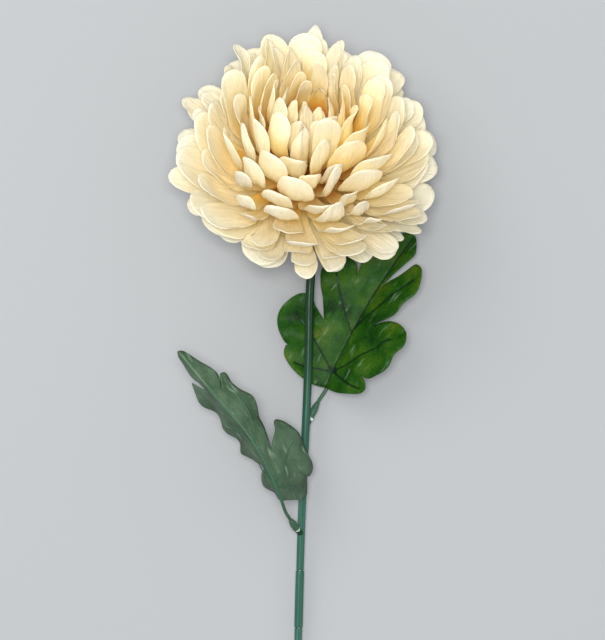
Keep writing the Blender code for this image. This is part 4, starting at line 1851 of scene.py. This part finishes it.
    def blade(self, shift: Vector) -> Shape:
        """Make the blade's sheet.

        Args:
            shift: From the flower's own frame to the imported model's.

        Returns:
            Its shape.
        """
        spots, triangles = self.flat_mesh()
        lift, near = self.relief(spots)
        points = self.place(spots[:, 0], spots[:, 1], lift) + np.array(shift)
        points[:, 2] = np.maximum(points[:, 2], self.table_gap)
        a, b, c = (points[[triangle[i] for triangle in triangles]] for i in range(3))
        facing = np.cross(b - a, c - a)
        outer = self.outer_way(np.array([spots[triangle[0], 0] for triangle in triangles]))
        if (facing * outer).sum() > 0:
            triangles = [triangle[::-1] for triangle in triangles]
        shape = Shape()
        shape.add_points(points, u_mm=spots[:, 0], v_mm=spots[:, 1], vein=near)
        shape.faces = [tuple(triangle) for triangle in triangles]
        return shape

    def sleeve_line(self) -> tuple[np.ndarray, np.ndarray, np.ndarray]:
        """Return the sleeve's mouth, its inner end and the way from one to the other."""
        mouth, inner = (np.array(point) * MM for point in self.sleeve)
        return mouth, inner, unit(inner - mouth)

    def rib(self, shift: Vector) -> Shape:
        """Make the moulded rib: midrib, side ribs, stalk and sleeve.

        Args:
            shift: From the flower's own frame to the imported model's.

        Returns:
            Its shape.
        """
        seat = self.fabric_thickness / 2 + self.rib_seat
        mouth, inner, way = self.sleeve_line()
        along = [at for at in self.midrib_at if at < self.foot_mm - 1]
        along = np.array(along + list(np.linspace(self.foot_mm, self.rib_end, 11)))
        radii = np.interp(along, (0, self.rib_end), (self.rib_radius, self.rib_tip_radius))
        points = self.middle(along) + self.outer_way(along) * (seat + radii)[:, None]
        points = np.vstack([inner - way * 1.5 * MM, inner, points])
        line = smooth_line(points, self.rib_step)
        widths = profile_along(line, self.rib_profile)
        widths[-len(self.rib_tip_shares):] *= self.rib_tip_shares
        shape = Shape()
        sweep(shape, line + np.array(shift), widths, 20, grooves=0.06, groove_count=4)
        for rib in self.ribs():
            self._side_rib(shape, rib, seat, shift)
        sleeve = smooth_line([mouth, mouth + (inner - mouth) * 0.7, inner], self.sleeve_step)
        far = np.linspace(0, 1, len(sleeve))
        lumps = 1 + 0.05 * np.sin(13 * far + 2) + 0.04 * np.sin(29 * far)
        widths = profile_along(sleeve, self.sleeve_profile) * self.sleeve_radius * lumps
        sweep(shape, sleeve + np.array(shift), widths, 28)
        return shape

    def _side_rib(self, shape: Shape, rib: FlatLine, seat: float, shift: Vector) -> None:
        """Add a thin rib under the blade, rooted in the midrib.

        Args:
            shape: What it is added to.
            rib: Its places in the flat blade.
            seat: The height of the blade's underside over its middle.
            shift: From the flower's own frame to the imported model's.
        """
        spots = np.array(rib, float)
        lift = np.full(len(spots), seat + self.side_rib_radius + self.side_rib_gap)
        points = self.place(spots[:, 0], spots[:, 1] + np.sign(spots[-1, 1]) * 0.001, lift)
        points[0] = self.middle(spots[0, 0]) + self.outer_way(spots[0, 0]) * (seat + self.rib_radius)
        line = smooth_line(points, self.rib_step)
        widths = profile_along(line, self.side_rib_profile) * self.side_rib_radius
        sweep(shape, line + np.array(shift), widths, 12)

    def peg(self, stem: Stem) -> tuple[np.ndarray, np.ndarray, np.ndarray]:
        """Place the peg that the sleeve fits.

        Args:
            stem: The stem that it grows from.

        Returns:
            Its root in the stem, its shoulder and its end in the sleeve.
        """
        mouth, inner, way = self.sleeve_line()
        lengths, _ = stem.line()
        line = stem.at(np.linspace(lengths[2], lengths[-1], 400))
        root = line[np.argmin(np.linalg.norm(line - (mouth - way * self.peg_root_back), axis=1))]
        end = mouth + way * (self.sleeve_length * self.bore_share - 2 * GAP)
        return root, mouth - way * self.peg_shoulder_back, end

    def glue(self, shift: Vector) -> Shape:
        """Make the blobs of glue round the sleeve's mouth.

        Args:
            shift: From the flower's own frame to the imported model's.

        Returns:
            Their shape.
        """
        mouth, inner, way = self.sleeve_line()
        draw = np.random.default_rng(self.seed + 1)
        shape = Shape()
        for back, size in self.glue_blobs_mm:
            centre = mouth + way * back * MM + draw.uniform(-0.5, 0.5, 3) * MM
            ends = [centre - way * size * MM, centre, centre + way * size * MM]
            line = smooth_line(ends, 0.2 * MM)
            far = np.linspace(-1, 1, len(line))
            widths = np.sqrt(np.maximum(1 - far**2, 0.02)) * size * self.glue_width * MM
            sweep(shape, line + np.array(shift), widths, 18, grooves=0.18, groove_count=3)
        return shape

    def build(self, shift: Vector, fabrics: Sequence[bpy.types.Material]) -> None:
        """Make the blade, the rib and the glue.

        Args:
            shift: From the flower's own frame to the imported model's.
            fabrics: The finishes of the upper face and the underside.
        """
        blade = self.blade(shift).object(f"{self.name}_blade_fabric", fabrics)
        add_sheet_thickness(blade, self.fabric_thickness, two_faced=True)
        hand_over(blade, "leaf_fabric", f"{self.name}_blade")
        rib = self.rib(shift).object(f"{self.name}_rib_moulded", [RIB_PLASTIC.make()])
        hand_over(rib, "stem_plastic", f"{self.name}_rib")
        hand_over(self.glue(shift).object(f"{self.name}_glue", [GLUE.make()]), "stem_plastic")


RIGHT_LEAF = Leaf(
    name="leaf_right",
    halves=(
        (
            (81, 0), (80, 4), (77, 7), (69, 12), (60, 15), (53.5, 14), (47, 11), (44, 8.3), (49, 12.5),
            (53, 16), (53.5, 22.5), (48, 28.6), (42, 29.6), (37, 26.8), (31, 21.9), (21.6, 15.5),
            (25.5, 22.5), (29, 28), (28, 32), (23.5, 36), (18.5, 38), (10.5, 37), (5, 32.5),
            (2.4, 28.3), (4.8, 18.3), (0.8, 27.3), (-3.2, 26.4), (-6.5, 22.4), (-9.7, 14), (-10.3, 6),
        ),
        (
            (81, 0), (79, 4), (75, 7.2), (68, 6.2), (59, 3.6), (50, 1.8), (57, 5.4), (66, 9.8),
            (71.5, 13), (71.5, 18.5), (67, 21.7), (56, 23.2), (47, 21), (31, 12.3), (38.5, 20),
            (39.5, 27.5), (36.5, 34.5), (30, 37.2), (20, 35.5), (13, 33.8), (6, 29.7), (4.4, 19.1),
            (3.8, 25), (1, 27.6), (-3, 25.2), (-6, 18.5), (-8.5, 9.5),
        ),
    ),
    side_ribs=(
        (
            ((0, 0), (-2, 7), (-4, 14), (-5, 20)),
            ((0, 0), (7, 10.5), (13, 20), (19, 30)),
            ((22, 0), (30, 8), (38, 16), (46, 24)),
        ),
        (
            ((0, 0), (-1, 8), (-2, 16), (-1.5, 23)),
            ((0, 0), (9, 9.5), (20, 19), (30, 29)),
            ((24, 0), (38, 5.5), (50, 11), (64, 16.5)),
        ),
    ),
    midrib_at=(-9.2, 0, 14.5, 23.5, 37, 56, 81),
    midrib=(
        (8.5, -100, 6.9), (12, -91.5, 6.6), (18.5, -78.5, 6.4), (22.5, -70.5, 6.4), (29, -59, 6.6),
        (39.5, -42.5, 8.0), (54, -22, 13.0),
    ),
    sleeve=((0.6, -115, 8.9), (4.6, -107.2, 7.0)),
    slopes=((3, 4), (50, 42)),
    ripple=1.2 * MM,
    seed=3,
)
LEFT_LEAF = Leaf(
    name="leaf_left",
    halves=(
        (
            (81, 0), (79.5, 4.5), (76, 9), (69.5, 9.5), (63.5, 6.6), (59, 4.5), (63, 10.5), (68, 18),
            (67.5, 24), (62, 26.5), (52, 26), (46, 24.2), (39, 28), (31, 32.5), (22.5, 32.7), (14, 31),
            (9.5, 27), (7.5, 20), (6.5, 12.5), (4.5, 17), (1, 21), (-3, 21.5), (-6.5, 17.5), (-8.5, 11),
            (-9.3, 5),
        ),
        (
            (81, 0), (80, 2.7), (75, 5.5), (67.5, 10.2), (64, 10.8), (55, 8.3), (61.8, 13),
            (61.5, 15.2), (54, 17.1), (47, 19.1), (41, 19.4), (35, 17.9), (30.5, 14.7), (25, 11.3),
            (16, 8.5), (21, 16), (25.4, 24.2), (22, 27.6), (15.6, 30), (10, 32.3), (4, 33.9),
            (-1, 32.2), (-5, 29.5), (-8, 26.3), (-1.4, 18), (-7.5, 23), (-12, 24.2), (-16.2, 21.2),
            (-16, 15.7), (-12.5, 7.6),
        ),
    ),
    side_ribs=(
        (
            ((0, 0), (-2, 5), (-3, 10)),
            ((0, 0), (6, 7), (11, 13)),
            ((22, 0), (30, 5), (38, 9)),
        ),
        (
            ((0, 0), (-4, 6), (-8, 12), (-11, 18)),
            ((0, 0), (5, 9), (9, 17), (12, 24)),
            ((22, 0), (31, 5.5), (40, 10), (50, 12.5)),
        ),
    ),
    midrib_at=(-12, -6.9, 0, 13.7, 31, 50, 81),
    midrib=(
        (-12.5, -158.5, 37), (-14, -153.5, 42.5), (-16.5, -147.5, 46.5), (-22, -135, 50.5),
        (-31.5, -120, 52.5), (-44, -106, 52.5), (-65.5, -80.5, 48),
    ),
    sleeve=((-6.5, -171.0, 15.0), (-9.2, -166.6, 22.3)),
    slopes=((-76, -72), (-50, -50)),
    ripple=1.5 * MM,
    seed=8,
)


# The studio


@dataclass
class SoftBox:
    """A large soft lamp."""

    name: str
    place: tuple[float, float, float]
    power: float
    size: float
    colour: Colour = (1.0, 1.0, 1.0)

    def build(self, aim: Vector) -> None:
        """Hang the lamp.

        Args:
            aim: What it shines on.
        """
        lamp = bpy.data.lights.new(self.name, "AREA")
        lamp.energy = self.power
        lamp.size = self.size
        lamp.color = self.colour
        obj = bpy.data.objects.new(self.name, lamp)
        obj.location = Vector(self.place)
        obj.rotation_euler = (aim - obj.location).to_track_quat("-Z", "Y").to_euler()
        bpy.context.scene.collection.objects.link(obj)


@dataclass
class Studio:
    """Pale paper, soft lamps and a camera that looks straight down on the flower."""

    camera_height: float = 1.6
    bloom_height: float = 0.045
    view_height: float = 0.320
    sensor: float = 36.0
    look_at_mm: tuple[float, float] = (-3.25, -65.0)
    floor_size: float = 6.0
    far_clip: float = 10.0
    aim: tuple[float, float, float] = (0, 0.08, 0.04)
    sky: Colour = (0.93, 0.95, 0.98)
    sky_strength: float = 0.95
    lamps: tuple[SoftBox, ...] = (
        SoftBox("front_lamp", (-0.04, 0.10, 1.70), 29.0, 0.35, (1.0, 0.99, 0.97)),
        SoftBox("key_lamp", (-0.70, 0.85, 1.30), 11.0, 1.0, (1.0, 0.985, 0.96)),
    )

    def build(self, shift: Vector) -> None:
        """Lay the paper, hang the lamps and set up the camera.

        Args:
            shift: From the flower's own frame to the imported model's.
        """
        half = self.floor_size / 2
        shape = Shape()
        corners = [(-half, -half, 0), (half, -half, 0), (half, half, 0), (-half, half, 0)]
        shape.add_points(np.array(corners))
        shape.faces.append((0, 1, 2, 3))
        floor = shape.object("studio_floor", [PAPER.make()])
        for lamp in self.lamps:
            lamp.build(Vector(self.aim))
        world = bpy.data.worlds.new("studio_light")
        world.use_nodes = True
        background = world.node_tree.nodes["Background"]
        background.inputs["Color"].default_value = (*self.sky, 1)
        background.inputs["Strength"].default_value = self.sky_strength
        bpy.context.scene.world = world
        lens = bpy.data.cameras.new("camera")
        lens.sensor_width = self.sensor
        lens.lens = self.sensor * (self.camera_height - self.bloom_height) / self.view_height
        lens.clip_end = self.far_clip
        camera = bpy.data.objects.new("camera", lens)
        camera.location = Vector((*self.look_at_mm, 0)) * MM + shift
        camera.location.z = self.camera_height
        bpy.context.scene.collection.objects.link(camera)
        bpy.context.scene.camera = camera
        bpy.context.scene.view_settings.view_transform = "Standard"


def packed_shift(stem: Stem) -> Vector:
    """Find the shift from the flower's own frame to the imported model's, from the collar's box.

    Args:
        stem: The stem, in the flower's own frame.

    Returns:
        The shift.
    """
    low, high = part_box("stem_collar")
    ends = stem.at(np.array(stem.collar))
    return (Vector(low) + Vector(high)) / 2 - Vector(ends.mean(axis=0))


def main() -> None:
    """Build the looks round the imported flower."""
    logging.basicConfig(level=logging.INFO, format="%(message)s")
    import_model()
    bloom = Bloom()
    stem = Stem(bloom)
    shift = packed_shift(stem)
    LOG.info("packed shift in mm: %s", [round(c / MM, 3) for c in shift])
    leaves = (RIGHT_LEAF, LEFT_LEAF)
    bloom.build(shift)
    stem.build(shift, [leaf.peg(stem) for leaf in leaves])
    fabrics = [LEAF_UPPER.make(), LEAF_UNDER.make()]
    for leaf in leaves:
        leaf.build(shift, fabrics)
    Studio().build(shift)


if __name__ == "__main__":
    main()
